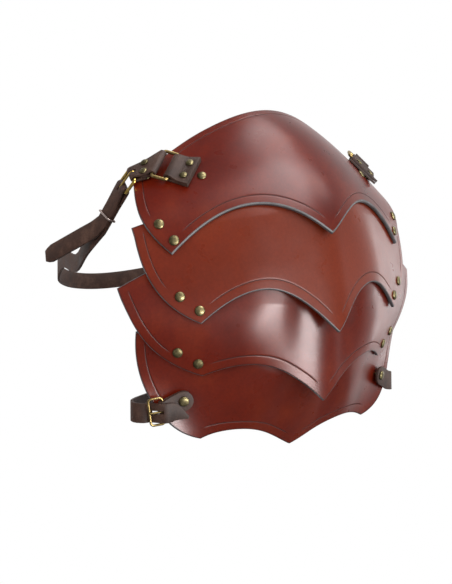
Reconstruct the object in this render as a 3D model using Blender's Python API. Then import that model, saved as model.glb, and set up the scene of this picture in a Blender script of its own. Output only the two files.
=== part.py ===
"""Leather shoulder pauldron: four overlapping plates, dome rivets, a chest strap and an arm strap.

Metres, +Z up.  +X points out from the body, +Y towards the wearer's back.
The origin is where the top plate would rest on the point of the shoulder, on the mirror plane.
"""
import bpy
import bmesh
import numpy as np
from math import cos, pi, radians, sin, sqrt
from mathutils import Vector
from mathutils.bvhtree import BVHTree

# Driving sizes of the four plates
PLATE_DEPTH = 0.100
DROP = 0.200
HALF_SPAN = 0.134
LEATHER = 0.0032
LAP_GAP = 0.0008
TOUCH_GAP = 0.0003
TOP_BULGE = 0.0165
SECOND_LAP = 0.0393
THIRD_LAP_SHARE = 0.335
BOTTOM_LAP = 0.0318
EASE_START = 0.020
EASE_LENGTH = 0.065

# Each row is the line of one lower plate edge, the first the neck edge:
# ridge out (of PLATE_DEPTH), ridge up (of DROP), corner out (of PLATE_DEPTH), corner side (of HALF_SPAN),
# corner up (of DROP), roundness of the ridge (of HALF_SPAN)
STATION_SHARES = (
    (-0.377, 0.130, -0.663, 0.985, -0.165, 0.644),
    (0.541, -0.423, -0.027, 1.001, -0.506, 0.363),
    (0.638, -0.858, 0.138, 0.862, -0.805, 0.243),
    (0.431, -1.178, 0.023, 0.789, -1.042, 0.275),
    (-0.045, -1.412, -0.116, 0.727, -1.336, 0.349),
)
# Outline of each plate: upper tip side and depth, control point side and depth, scallop depth,
# scallop skew.  Sides are shares of HALF_SPAN, depths shares of the plate's own height.
OUTLINE_SHARES = {
    1: (1.025, 0.10, 1.246, 0.67, 0.25, 1.17),
    2: (1.195, 0.14, 1.210, 0.84, 0.31, 1.14),
    3: (1.328, 0.45, 1.249, 1.00, 0.19, 1.04),
    4: (1.211, 0.15, 1.076, 0.99, 0.19, 1.14),
}
LAPS = {2: SECOND_LAP, 3: THIRD_LAP_SHARE * DROP, 4: BOTTOM_LAP}
PLATE_COLUMNS = 40
PLATE_ROWS = 7
PROBE_SHARE = 0.004
LAP_BLEND_SHARE = 0.10

# Rivets
LAME_CAP = 0.0045
SINGLE_CAP = 0.0040
SMALL_CAP = 0.0035
CAP_RISE_SHARE = 0.5
CAP_RIM_SHARE = 0.12
SHANK_RADIUS = 0.0015
SHANK_CLEARANCE = 0.00035
BACK_CAP = 0.0040
BACK_CAP_THICKNESS = 0.0010
BACK_GAP = 0.0005
RIVET_SIDES = 10
DOME_STEPS = 3

# Strap leather and wire
STRAP_LEATHER = 0.0022
PATCH_LEATHER = 0.0020
CHEST_STRAP_WIDTH = 0.0170
ARM_STRAP_WIDTH = 0.0174
WIRE = 0.0015
FINE_WIRE = 0.0011
KEEPER_WIRE = 0.0009
BAR_CLEARANCE = 0.0004
WIRE_SIDES = 8

# Front and rear plate tabs and their wire rings
TAB_LENGTH = 0.0200
TAB_FOLD_WIDTH = 0.0265
TAB_END_WIDTH = 0.0335
TAB_RIVET_BACK = 0.0132
TAB_RIVET_SPACING = 0.0155
RING_PITCH = 0.0145
RING_CORNER = 0.0028
RING_SIDE_PLAY = 0.0012
RING_TILT = radians(10)
TAB_FROM_TIP = 0.0267
TAB_DEPTH_SHARE = 0.245

# Chest buckle tab, buckle, keeper and strap
CHAPE_LENGTH = 0.0243
CHAPE_END_WIDTH = 0.0155
CHAPE_RIVET_SPACING = 0.0120
CHAPE_LEATHER = 0.0018
PRONG_WIRE = 0.0010
PRONG_TIP = 0.0010
SLOT_CLEARANCE = 0.0005
SLOT_REACH = 0.0020
FRAME_PLAY = 0.0007
REAR_LEG = 0.0220
REAR_RIVET_SPACING = 0.0085
CHEST_FRAME_PITCH = 0.0155
KEEPER_PLACE = 0.0290
KEEPER_STEP = 0.0060
KEEPER_PLAY = 0.0006
FREE_END = 0.0740
TORSO_HALF_WIDTH = 0.155
TORSO_HALF_DEPTH = 0.116
TORSO_CENTRE = 0.165
CHEST_HIGH = 0.097
BACK_STAND_OFF = 0.008
CHEST_LOW = 0.152

# Arm buckle and strap
ARM_HEEL = 0.0195
ARM_FRAME_PITCH = 0.0125
ARM_FRAME_WIDTH = 0.0218
ARM_TAB_WIDTH = 0.0175
ARM_LOOP_DEPTH = 0.086
ARM_LOOP_REACH = 0.0398
ARM_LOOP_FALL = 0.0109
STRAP_SHIFT = 0.0010
STRAP_DRIFT = 0.0052
ARM_SEAT_GAP = 0.0006
WEAVE_PLAY = 0.0010
ARM_TAB_DIP = radians(24)
ARM_FRAME_DIP = radians(8)
ARM_REAR_DIP = radians(20)

LEATHER_COLOUR = (0.19, 0.032, 0.018, 1.0)
STRAP_COLOUR = (0.085, 0.055, 0.042, 1.0)
BRASS_COLOUR = (0.32, 0.23, 0.11, 1.0)


def clear_scene():
    """Remove whatever the opened file holds."""
    for old in list(bpy.data.objects):
        bpy.data.objects.remove(old, do_unlink=True)


def new_material(name, colour, roughness, metallic):
    """A Principled material of one colour."""
    material = bpy.data.materials.new(name)
    material.use_nodes = True
    shader = material.node_tree.nodes["Principled BSDF"]
    shader.inputs["Base Color"].default_value = colour
    shader.inputs["Roughness"].default_value = roughness
    shader.inputs["Metallic"].default_value = metallic
    return material


def new_object(name, points, faces, material, smooth=None, origin=None):
    """One closed mesh object with its faces turned outwards, its origin in its middle or as given."""
    points = np.array(points, float)
    origin = points.mean(axis=0) if origin is None else np.array(origin, float)
    mesh = bpy.data.meshes.new(name)
    mesh.from_pydata([tuple(p) for p in points - origin], [], faces)
    shape = bmesh.new()
    shape.from_mesh(mesh)
    bmesh.ops.recalc_face_normals(shape, faces=shape.faces)
    shape.to_mesh(mesh)
    shape.free()
    if smooth is not None:
        mesh.shade_smooth()
        mesh.set_sharp_from_angle(angle=smooth)
    mesh.materials.append(material)
    obj = bpy.data.objects.new(name, mesh)
    obj.location = origin
    bpy.context.scene.collection.objects.link(obj)
    return obj


def unit(vector):
    """The vector at length one."""
    return vector / np.linalg.norm(vector)


def axes_from(along, outward):
    """Right-handed axes: along, across and outward, outward turned square to along."""
    e = unit(np.array(along, float))
    n = np.array(outward, float)
    n = unit(n - e * float(n @ e))
    return e, np.cross(n, e), n


def tube(name, centres, radius, material, closed, across, origin=None):
    """A round wire along the centres, its section carried along without twist."""
    pts = np.array(centres, float)
    count = len(pts)
    if closed:
        tangents = np.roll(pts, -1, axis=0) - np.roll(pts, 1, axis=0)
    else:
        tangents = np.gradient(pts, axis=0)
    rings = []
    normal = np.array(across, float)
    for i in range(count):
        t = unit(tangents[i])
        normal = unit(normal - t * float(normal @ t))
        side = np.cross(t, normal)
        turns = [2 * pi * j / WIRE_SIDES for j in range(WIRE_SIDES)]
        rings.extend(pts[i] + radius * (cos(a) * normal + sin(a) * side) for a in turns)
    faces = []
    for i in range(count if closed else count - 1):
        a = i * WIRE_SIDES
        b = ((i + 1) % count) * WIRE_SIDES
        for j in range(WIRE_SIDES):
            k = (j + 1) % WIRE_SIDES
            faces.append((a + j, a + k, b + k, b + j))
    if not closed:
        faces.append(tuple(range(WIRE_SIDES))[::-1])
        last = (count - 1) * WIRE_SIDES
        faces.append(tuple(range(last, last + WIRE_SIDES)))
    return new_object(name, rings, faces, material, smooth=radians(50), origin=origin)


def rounded_loop(centre, axis_a, axis_b, half_a, half_b, corner, corner_steps=4):
    """Centres of a rounded rectangle in the plane of two axes."""
    points = []
    for sa, sb, start in ((1, 1, 0), (-1, 1, 1), (-1, -1, 2), (1, -1, 3)):
        for i in range(corner_steps + 1):
            turn = (start + i / corner_steps) * pi / 2
            a = sa * (half_a - corner) + corner * cos(turn)
            b = sb * (half_b - corner) + corner * sin(turn)
            points.append(centre + a * axis_a + b * axis_b)
    return points


def ribbon(name, stations, thickness, material):
    """A flat strip: each station is its centre, across axis, outward axis and width."""
    points = []
    for centre, across, outward, width in stations:
        for side, lift in ((-1, -1), (1, -1), (1, 1), (-1, 1)):
            points.append(centre + side * across * width / 2 + lift * outward * thickness / 2)
    faces = [(3, 2, 1, 0)]
    for i in range(len(stations) - 1):
        for j in range(4):
            k = (j + 1) % 4
            a = 4 * i
            faces.append((a + j, a + k, a + 4 + k, a + 4 + j))
    last = 4 * (len(stations) - 1)
    faces.append((last, last + 1, last + 2, last + 3))
    return new_object(name, points, faces, material, smooth=radians(40))


def turned(name, profile, origin, axis, material, sides):
    """A solid turned about an axis from (radius, height) points that start and end on it."""
    axis = unit(np.array(axis, float))
    helper = np.array((0.0, 0.0, 1.0)) if abs(axis[2]) < 0.9 else np.array((1.0, 0.0, 0.0))
    u = unit(np.cross(helper, axis))
    v = np.cross(axis, u)
    points = [origin + profile[0][1] * axis]
    for radius, height in profile[1:-1]:
        for j in range(sides):
            turn = 2 * pi * j / sides
            points.append(origin + height * axis + radius * (cos(turn) * u + sin(turn) * v))
    points.append(origin + profile[-1][1] * axis)
    rings = len(profile) - 2
    top = len(points) - 1
    faces = []
    for j in range(sides):
        k = (j + 1) % sides
        faces.append((0, 1 + k, 1 + j))
        for r in range(rings - 1):
            a = 1 + r * sides
            faces.append((a + j, a + k, a + sides + k, a + sides + j))
        a = 1 + (rings - 1) * sides
        faces.append((a + j, a + k, top))
    return new_object(name, points, faces, material, smooth=radians(50))


def cut(target, cutter_name, points, faces):
    """Take a closed cutter's space out of the target with an exact Boolean."""
    cutter = new_object(cutter_name, points, faces, target.data.materials[0])
    cutter.hide_render = True
    cutter.display_type = "WIRE"
    modifier = target.modifiers.new(cutter_name, "BOOLEAN")
    modifier.operation = "DIFFERENCE"
    modifier.solver = "EXACT"
    modifier.object = cutter


def cut_box(target, cutter_name, centre, axes, halves):
    """Cut a box, given by its centre, axes and half sizes, out of the target."""
    sides = [half * axis for half, axis in zip(halves, axes)]
    signs = [(a, b, c) for a in (-1, 1) for b in (-1, 1) for c in (-1, 1)]
    corners = [centre + a * sides[0] + b * sides[1] + c * sides[2] for a, b, c in signs]
    faces = [(0, 1, 3, 2), (4, 6, 7, 5), (0, 4, 5, 1), (2, 3, 7, 6), (0, 2, 6, 4), (1, 5, 7, 3)]
    cut(target, cutter_name, corners, faces)


def cut_round(target, cutter_name, centre, axis, radius, half_length, sides=12):
    """Cut a round hole out of the target."""
    axis = unit(np.array(axis, float))
    helper = np.array((0.0, 0.0, 1.0)) if abs(axis[2]) < 0.9 else np.array((1.0, 0.0, 0.0))
    u = unit(np.cross(helper, axis))
    v = np.cross(axis, u)
    points = []
    for end in (-1, 1):
        for j in range(sides):
            turn = 2 * pi * j / sides
            points.append(centre + end * half_length * axis + radius * (cos(turn) * u + sin(turn) * v))
    faces = [tuple(range(sides))[::-1], tuple(range(sides, 2 * sides))]
    for j in range(sides):
        k = (j + 1) % sides
        faces.append((j, k, sides + k, sides + j))
    cut(target, cutter_name, points, faces)


def smooth_step(value):
    """0 to 1 with level ends."""
    value = np.clip(value, 0.0, 1.0)
    return value * value * (3.0 - 2.0 * value)


def bow(value):
    """Height of a hyperbola above its lowest point."""
    return np.sqrt(1.0 + value * value) - 1.0


def edge_line(k, y):
    """Outer lower edge line of plate k at sideways place y, before its scallops."""
    ridge_x, ridge_z, corner_x, corner_y, corner_z, turn = STATION_SHARES[k]
    share = bow(y / (turn * HALF_SPAN)) / bow(np.array(corner_y / turn))
    x = PLATE_DEPTH * (ridge_x + (corner_x - ridge_x) * share)
    z = DROP * (ridge_z + (corner_z - ridge_z) * share)
    return np.stack([x, y, z], -1)


def plate_lines(k, y):
    """Upper line, lower line, bow and where the bow peaks, with the lap's start and its hug."""
    lower = edge_line(k, y)
    if k == 1:
        upper = edge_line(0, y)
        run = lower - upper
        out = np.stack([-run[..., 2], 0.0 * y, run[..., 0]], -1)
        out = out / np.linalg.norm(out, axis=-1, keepdims=True)
        return upper, lower, out * TOP_BULGE, np.full(np.shape(y), 0.5), None, None
    above = edge_line(k - 1, y)
    top, bottom, bend, middle, _, _ = plate_lines(k - 1, y)
    run = bottom - top
    start = 1.0 - LAPS[k] / np.linalg.norm(run, axis=-1)
    step = PROBE_SHARE * HALF_SPAN
    out = np.cross(edge_line(k - 1, y + step) - edge_line(k - 1, y - step), run)
    out = out / np.linalg.norm(out, axis=-1, keepdims=True)
    out = out * np.where(out[..., :1] < 0.0, -1.0, 1.0)
    inset = (LEATHER + LAP_GAP) * out
    share = start * (1.0 - start) / (middle * (1.0 - middle))
    upper = top + start[..., None] * run + share[..., None] * bend - inset
    touch = LAPS[k] / np.linalg.norm(lower - upper, axis=-1)
    chord = upper + touch[..., None] * (lower - upper)
    hug = smooth_step((np.abs(y) - EASE_START) / EASE_LENGTH)[..., None]
    return upper, lower, hug * (above - inset - chord), touch, start, hug


def bowed(upper, lower, bend, middle, t):
    """Point at share t of a line that bows out most evenly about its middle."""
    share = t * (1.0 - t) / (middle * (1.0 - middle))
    return upper + t[..., None] * (lower - upper) + share[..., None] * bend


def plate_point(k, y, t):
    """A point of plate k's outer face at sideways place y and share t of its height.

    Towards the wings, the part under the plate above follows that plate's inner face.
    """
    y = np.asarray(y, float)
    t = np.asarray(t, float)
    upper, lower, bend, touch, start, hug = plate_lines(k, y)
    place = bowed(upper, lower, bend, touch, t)
    if k == 1:
        return place
    ahead = touch - t
    reach = np.maximum(ahead, LAP_BLEND_SHARE)
    lap_t = start + (1.0 - start) * (touch - reach) / touch
    lap = plate_point(k - 1, y, lap_t) - (LEATHER + LAP_GAP) * plate_normal(k - 1, y, lap_t)
    rate = (lap - bowed(upper, lower, bend, touch, touch - reach)) / reach[..., None]
    ease = 0.5 * (ahead + np.sqrt(ahead * ahead + LAP_BLEND_SHARE ** 2))
    return place + hug * rate * ease[..., None]


def plate_normal(k, y, t):
    """Outward normal of plate k's outer face."""
    step = PROBE_SHARE * HALF_SPAN
    across = plate_point(k, y + step, t) - plate_point(k, y - step, t)
    down = plate_point(k, y, t + PROBE_SHARE) - plate_point(k, y, t - PROBE_SHARE)
    out = np.cross(across, down)
    out = out / np.linalg.norm(out, axis=-1, keepdims=True)
    return out * np.where(out[..., :1] < 0.0, -1.0, 1.0)


def plate_grid(k):
    """Places (y, t) of plate k's grid inside its outline."""
    tip_y, tip_t, control_y, control_t, dip, skew = OUTLINE_SHARES[k]
    corner_y = STATION_SHARES[k][3]
    u = np.linspace(-1.0, 1.0, PLATE_COLUMNS + 1)[:, None]
    v = np.linspace(0.0, 1.0, PLATE_ROWS + 1)[None, :]
    side = (1 - v) ** 2 * tip_y + 2 * v * (1 - v) * control_y + v * v * corner_y
    edge = (1 - v) ** 2 * tip_t + 2 * v * (1 - v) * control_t + v * v
    top = tip_t * (np.clip(np.abs(u) - 0.5, 0.0, 0.5) / 0.5) ** 2
    wave = np.abs(u) ** skew
    low = 1.0 - dip * 4.0 * wave * (1.0 - wave)
    t = (1 - v) * top + v * low + (edge - (1 - v) * tip_t - v) * np.abs(u) ** 4
    return u * side * HALF_SPAN, t


def build_plate(k, name, material):
    """One curved leather plate of even thickness."""
    y, t = plate_grid(k)
    outer = plate_point(k, y, t)
    inner = outer - LEATHER * plate_normal(k, y, t)
    columns, rows = y.shape
    points = list(outer.reshape(-1, 3)) + list(inner.reshape(-1, 3))
    back = columns * rows

    def at(i, j):
        return i * rows + j

    faces = []
    for i in range(columns - 1):
        for j in range(rows - 1):
            quad = (at(i, j), at(i, j + 1), at(i + 1, j + 1), at(i + 1, j))
            faces.append(quad)
            faces.append(tuple(back + q for q in quad[::-1]))
    rim = [at(i, 0) for i in range(columns)]
    rim += [at(columns - 1, j) for j in range(1, rows)]
    rim += [at(i, rows - 1) for i in range(columns - 2, -1, -1)]
    rim += [at(0, j) for j in range(rows - 2, 0, -1)]
    for a, b in zip(rim, rim[1:] + rim[:1]):
        faces.append((a, b, back + b, back + a))
    return new_object(name, points, faces, material, smooth=radians(40))


def ray_tree(obj):
    """Ray caster on an object's own mesh, before its holes."""
    mesh = obj.data
    corners = [v.co + obj.location for v in mesh.vertices]
    return BVHTree.FromPolygons(corners, [p.vertices for p in mesh.polygons])


def stack_depths(trees, origin, axis):
    """Heights along the axis where a line through the origin enters and leaves the layers."""
    reach = 8 * LEATHER
    heights = []
    for tree in trees:
        for sign in (1, -1):
            start = Vector(origin + sign * reach * axis)
            hit = tree.ray_cast(start, Vector(-sign * axis), 2 * reach)
            if hit[0] is not None:
                heights.append(float((np.array(hit[0]) - origin) @ axis))
    return min(heights), max(heights)


def face_heights(obj, origin, axes, span, width, pick):
    """Heights of an object's nearest (max) or farthest (min) face over a flat footprint."""
    e, b, n = axes
    tree = ray_tree(obj)
    reach = 8 * LEATHER
    sign = 1 if pick is max else -1
    heights = []
    for i in range(7):
        for j in range(5):
            place = origin + blend(span[0], span[1], i / 6) * e + width * (j / 4 - 0.5) * b
            hit = tree.ray_cast(Vector(place + sign * reach * n), Vector(-sign * n), 2 * reach)
            if hit[0] is not None:
                heights.append(float((np.array(hit[0]) - origin) @ n))
    return heights


def rivet(name, origin, axis, cap_radius, layers, material):
    """Dome rivet through the layers, with its holes cut in them."""
    axis = unit(np.array(axis, float))
    low, high = stack_depths([ray_tree(o) for o in layers], origin, axis)
    seat = high + TOUCH_GAP
    back = low - BACK_GAP
    rise = cap_radius * CAP_RISE_SHARE
    rim = cap_radius * CAP_RIM_SHARE
    head = min(BACK_CAP, cap_radius)
    profile = [(0.0, back - BACK_CAP_THICKNESS), (head, back - BACK_CAP_THICKNESS), (head, back)]
    profile += [(SHANK_RADIUS, back), (SHANK_RADIUS, seat), (cap_radius, seat)]
    for i in range(DOME_STEPS):
        turn = pi / 2 * i / DOME_STEPS
        profile.append((cap_radius * cos(turn), seat + rim + (rise - rim) * sin(turn)))
    profile.append((0.0, seat + rise))
    obj = turned(name, profile, origin, axis, material, RIVET_SIDES)
    middle = origin + axis * (low + high) / 2
    bore = SHANK_RADIUS + SHANK_CLEARANCE
    for layer in layers:
        cut_round(layer, name + "_hole_" + layer.name, middle, axis, bore, high - low)
    return obj


def arc_places(radius, start, stop, steps):
    """(along, lift) places of an arc about zero; angle zero points along, a quarter turn outward."""
    turns = [start + (stop - start) * i / steps for i in range(steps + 1)]
    return [(radius * cos(a), radius * sin(a)) for a in turns]


def blend(a, b, share):
    """Mix of two vectors."""
    return a + (b - a) * share


def offset_places(places):
    """Outward direction (along, lift) at each place of a path, square to it."""
    pts = np.array(places, float)
    run = np.gradient(pts, axis=0)
    run = run / np.linalg.norm(run, axis=1, keepdims=True)
    return np.stack([-run[:, 1], run[:, 0]], -1)


def folded_strip(name, places, mapping, width_at, thickness, material):
    """A strip along (along, lift) places; mapping turns a place into a point and its axes."""
    stations = []
    for (s, h), (ds, dh) in zip(places, offset_places(places)):
        centre, e, b, n = mapping(s, h)
        stations.append((centre, b, ds * e + dh * n, width_at(s)))
    return ribbon(name, stations, thickness, material)


def spline(points, steps):
    """Catmull-Rom curve through the points, with the given steps in each span."""
    pts = np.array(points, float)
    padded = np.vstack([2 * pts[0] - pts[1], pts, 2 * pts[-1] - pts[-2]])
    curve = []
    for i in range(len(pts) - 1):
        p0, p1, p2, p3 = padded[i:i + 4]
        count = steps if isinstance(steps, int) else steps[i]
        for j in range(count):
            x = j / count
            curve.append(0.5 * (2 * p1 + (p2 - p0) * x + (2 * p0 - 5 * p1 + 4 * p2 - p3) * x * x
                                + (3 * p1 - p0 - 3 * p2 + p3) * x ** 3))
    curve.append(pts[-1])
    return np.array(curve)


def route_stations(waypoints, steps, width_at):
    """Ribbon stations along waypoints of (point, outward direction)."""
    centres = spline([w[0] for w in waypoints], steps)
    outs = spline([w[1] for w in waypoints], steps)
    run = np.gradient(centres, axis=0)
    lengths = np.concatenate([[0.0], np.cumsum(np.linalg.norm(np.diff(centres, axis=0), axis=1))])
    stations = []
    for centre, out, t, s in zip(centres, outs, run, lengths):
        e, b, n = axes_from(t, out)
        stations.append((centre, b, n, width_at(s, lengths[-1])))
    return stations


def prong_path(bar, e, n, reach, lift, swing_radius):
    """Centres of a wire prong: an open eye round its bar and a shaft to the far bar."""
    path = []
    for i in range(9):
        turn = radians(-20) - radians(250) * i / 8
        path.append(bar + swing_radius * (cos(turn) * e + sin(turn) * n))
    path.append(bar + 0.45 * reach * e + (0.75 * swing_radius + 0.25 * lift) * n)
    path.append(bar + reach * e + lift * n)
    return path


clear_scene()
RED = new_material("oxblood_leather", LEATHER_COLOUR, 0.42, 0.0)
BROWN = new_material("strap_leather", STRAP_COLOUR, 0.6, 0.0)
BRASS = new_material("aged_brass", BRASS_COLOUR, 0.38, 1.0)

# The four plates, top to bottom
PLATE_NAMES = {1: "top_plate", 2: "second_lame", 3: "third_lame", 4: "bottom_lame"}
plates = {k: build_plate(k, PLATE_NAMES[k], RED) for k in PLATE_NAMES}

# Plate rivets: name, outer plate, side (of HALF_SPAN), depth (of the plate), cap, layers
RIVET_SHARES = (
    ("top_lame_rivet_high", 1, 1.046, 0.72, LAME_CAP, (1, 2)),
    ("top_lame_rivet_low", 1, 0.984, 0.89, LAME_CAP, (1, 2)),
    ("second_lame_rivet_high", 2, 0.985, 0.76, LAME_CAP, (2, 3)),
    ("second_lame_rivet_low", 2, 0.875, 0.88, LAME_CAP, (2, 3)),
    ("third_lame_rivet_high", 3, 0.962, 0.88, LAME_CAP, (3, 4)),
    ("third_lame_rivet_low", 3, 0.834, 0.92, LAME_CAP, (3, 4)),
)
for label, k, side, depth, cap, layers in RIVET_SHARES:
    for end, sign in (("front", -1), ("rear", 1)):
        y = sign * side * HALF_SPAN
        place = plate_point(k, y, depth)
        out = plate_normal(k, y, depth)
        rivet(f"{end}_{label}", place, out, cap, [plates[i] for i in layers], BRASS)

# Plate tab, ring and backing patch at each end of the top plate
FOLD = WIRE + BAR_CLEARANCE + STRAP_LEATHER / 2
LEG_STEP = STRAP_LEATHER + TOUCH_GAP
TAB_LOW = -FOLD
TAB_HIGH = TAB_LOW + LEG_STEP
TAB_SIDE = OUTLINE_SHARES[1][0] * HALF_SPAN - TAB_FROM_TIP
PLATE_TAB_PULL = (-0.837, -0.516, 0.137)


def mirrored(vector, sign):
    """The vector, or its mirror image in the middle plane for the rear end."""
    return np.array(vector, float) * np.array((1.0, -sign, 1.0))


def tab_axes(sign):
    """Axes of the plate tab at the front (sign -1) or rear (sign 1) end."""
    out = plate_normal(1, sign * TAB_SIDE, TAB_DEPTH_SHARE)
    return axes_from(mirrored(PLATE_TAB_PULL, sign), out)


def tab_bar(sign):
    """Centre of the ring's bar in the tab's fold, so that the tab just clears the plate."""
    axes = tab_axes(sign)
    n = axes[2]
    base = plate_point(1, sign * TAB_SIDE, TAB_DEPTH_SHARE)
    heights = face_heights(plates[1], base, axes, (-TAB_LENGTH, 0.0), TAB_END_WIDTH, max)
    return base + (max(heights) + TOUCH_GAP + STRAP_LEATHER / 2 + FOLD) * n


def tab_places():
    """Path of the folded tab: under leg, round the bar, upper leg."""
    path = [(-TAB_LENGTH, TAB_LOW), (-TAB_LENGTH / 2, TAB_LOW)]
    path += arc_places(FOLD, -pi / 2, pi / 2, 6)
    drop = TAB_HIGH - FOLD
    for share in (0.15, 0.32, 0.5):
        ease = float(smooth_step(share / 0.5))
        path.append((-TAB_LENGTH * share, FOLD + drop * ease))
    path.append((-TAB_LENGTH, TAB_HIGH))
    return path


def tab_width(s):
    """Tab width at a distance from the bar."""
    share = min(max(-s / TAB_LENGTH, 0.0), 1.0)
    return TAB_FOLD_WIDTH + (TAB_END_WIDTH - TAB_FOLD_WIDTH) * share


def flat_mapping(origin, axes):
    """Mapping of (along, lift) places into one flat frame."""
    e, b, n = axes

    def mapping(s, h):
        return origin + s * e + h * n, e, b, n

    return mapping


PATCH_LENGTH = 0.019
PATCH_WIDTH = 0.028
tabs = {}
for end, sign in (("front", -1), ("rear", 1)):
    axes = tab_axes(sign)
    e, b, n = axes
    bar = tab_bar(sign)
    flat = flat_mapping(bar, axes)
    tab = folded_strip(f"{end}_plate_tab", tab_places(), flat, tab_width, STRAP_LEATHER, BROWN)
    tilt_e = cos(RING_TILT) * e + sin(RING_TILT) * n
    ring_middle = bar + RING_PITCH / 2 * tilt_e
    ring_half = TAB_FOLD_WIDTH / 2 + RING_SIDE_PLAY + WIRE
    ring_loop = rounded_loop(ring_middle, tilt_e, b, RING_PITCH / 2, ring_half, RING_CORNER)
    tube(f"{end}_ring", ring_loop, WIRE, BRASS, True, n)
    tabs[sign] = (tilt_e, b, bar)
    # thin leather patch inside the plate, under the tab's two rivets
    middle = bar - TAB_RIVET_BACK * e
    half = PATCH_LENGTH / 2
    low = min(face_heights(plates[1], middle, axes, (-half, half), PATCH_WIDTH, min))
    seat = middle + (low - TOUCH_GAP - PATCH_LEATHER / 2) * n
    ends = [(seat + s * half * e, b, n, PATCH_WIDTH) for s in (-1, 1)]
    patch = ribbon(f"{end}_backing_patch", ends, PATCH_LEATHER, BROWN)
    for label, side in (("upper", -1), ("lower", 1)):
        place = middle + side * TAB_RIVET_SPACING / 2 * b
        rivet(f"{end}_tab_rivet_{label}", place, n, SMALL_CAP, [tab, plates[1], patch], BRASS)

# Single rivet beside each tab
SINGLE_PLACE_SHARE = (0.712, 0.41)
for end, sign in (("front", -1), ("rear", 1)):
    y = sign * SINGLE_PLACE_SHARE[0] * HALF_SPAN
    place = plate_point(1, y, SINGLE_PLACE_SHARE[1])
    out = plate_normal(1, y, SINGLE_PLACE_SHARE[1])
    rivet(f"{end}_single_rivet", place, out, SINGLE_CAP, [plates[1]], BRASS)

# Chest strap chain: ring, buckle tab, buckle and the doubled strap with its keeper.
# Directions are for the front end; the rear end mirrors them.
CHAPE_PULL = (-0.61, -0.68, -0.415)
BUCKLE_PULL = (-0.55, -0.30, -0.78)
BUCKLE_OUT = (-0.10, -0.90, 0.42)
KEEPER_PULL = (-0.42, -0.30, -0.855)
KEEPER_OUT = (0.02, -0.95, 0.32)
FREE_PULL = (-0.90, -0.20, -0.40)
FREE_OUT = (0.03, -0.97, 0.22)
FREE_LIFT = 0.0009
# Strap places on the chest below the keeper: in from the origin (of TORSO_CENTRE), forward
# (of TORSO_HALF_DEPTH) and down (of CHEST_LOW), with the outward direction
CHEST_SHARES = (
    ((0.95, 1.16, 0.77), (-0.3, -0.95, 0.1)),
    ((0.67, 1.31, 0.645), (-0.1, -0.97, 0.2)),
)
CHAPE_FOLD = WIRE + BAR_CLEARANCE + CHAPE_LEATHER / 2
CHAPE_STEP = CHAPE_LEATHER + TOUCH_GAP


def skewed_mapping(start, start_axes, end, end_axes):
    """Mapping along a straight piece whose across direction turns from one bar to the next."""
    length = float(np.linalg.norm(end - start))

    def mapping(s, h):
        share = min(max(s / length, 0.0), 1.0)
        if share == 0.0:
            origin, axes = start + s * start_axes[0], start_axes
        elif share == 1.0:
            origin, axes = end + (s - length) * end_axes[0], end_axes
        else:
            origin = blend(start, end, share)
            axes = [unit(blend(a, b, share)) for a, b in zip(start_axes, end_axes)]
        e, b, n = axes
        return origin + h * n, e, b, n

    return mapping, length


def square_to(pull, across):
    """Axes along a pull as near as the across direction of a bar allows."""
    along = unit(pull - across * float(pull @ across))
    return along, across, np.cross(along, across)


def chain(sign):
    """Far ring bar, heel, toe and keeper places with their axes, front (-1) or rear (1)."""
    ring_along, ring_across, bar = tabs[sign]
    far = bar + RING_PITCH * ring_along
    pull = unit(mirrored(CHAPE_PULL, sign))
    heel = far + CHAPE_LENGTH * pull
    buckle_axes = axes_from(mirrored(BUCKLE_PULL, sign), mirrored(BUCKLE_OUT, sign))
    toe = heel + CHEST_FRAME_PITCH * buckle_axes[0]
    keeper_axes = axes_from(mirrored(KEEPER_PULL, sign), mirrored(KEEPER_OUT, sign))
    keeper = toe + KEEPER_PLACE * keeper_axes[0]
    far_axes = square_to(pull, ring_across)
    end_axes = square_to(pull, buckle_axes[1])
    return far, far_axes, heel, end_axes, toe, buckle_axes, keeper, keeper_axes


far, far_axes, heel, end_axes, toe, buckle_axes, keeper, keeper_axes = chain(-1)

# Buckle tab: three layers of one folded strip, slotted for the prong
chape_map, chape_length = skewed_mapping(far, far_axes, heel, end_axes)
CHAPE_TOP = -CHAPE_FOLD + 2 * CHAPE_STEP
chape_middle = -CHAPE_FOLD + CHAPE_STEP
chape_path = [(0.68 * chape_length, chape_middle), (0.36 * chape_length, chape_middle)]
chape_path += [(0.20 * chape_length, blend(-CHAPE_FOLD, chape_middle, 0.45))]
chape_path += arc_places(CHAPE_FOLD, -pi / 2, -3 * pi / 2, 6)
chape_path += [(0.18 * chape_length, blend(CHAPE_FOLD, CHAPE_TOP, 0.5)), (0.40 * chape_length, CHAPE_TOP)]
chape_path += [(0.62 * chape_length, CHAPE_TOP), (0.82 * chape_length, blend(CHAPE_FOLD, CHAPE_TOP, 0.5))]
chape_path += [(chape_length + s, h) for s, h in arc_places(CHAPE_FOLD, pi / 2, -pi / 2, 6)]
chape_path += [(0.62 * chape_length, -CHAPE_FOLD), (0.44 * chape_length, -CHAPE_FOLD)]


def chape_width(s):
    """Buckle tab width between the ring and the buckle."""
    share = min(max(s / chape_length, 0.0), 1.0)
    return TAB_FOLD_WIDTH + (CHAPE_END_WIDTH - TAB_FOLD_WIDTH) * share


chape = folded_strip("front_buckle_tab", chape_path, chape_map, chape_width, CHAPE_LEATHER, BROWN)
rivet_place, _, rivet_across, rivet_out = chape_map(chape_length / 2, 0.0)
for label, side in (("upper", -1), ("lower", 1)):
    place = rivet_place + side * CHAPE_RIVET_SPACING / 2 * rivet_across
    rivet(f"front_buckle_tab_rivet_{label}", place, rivet_out, SMALL_CAP, [chape], BRASS)

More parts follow.
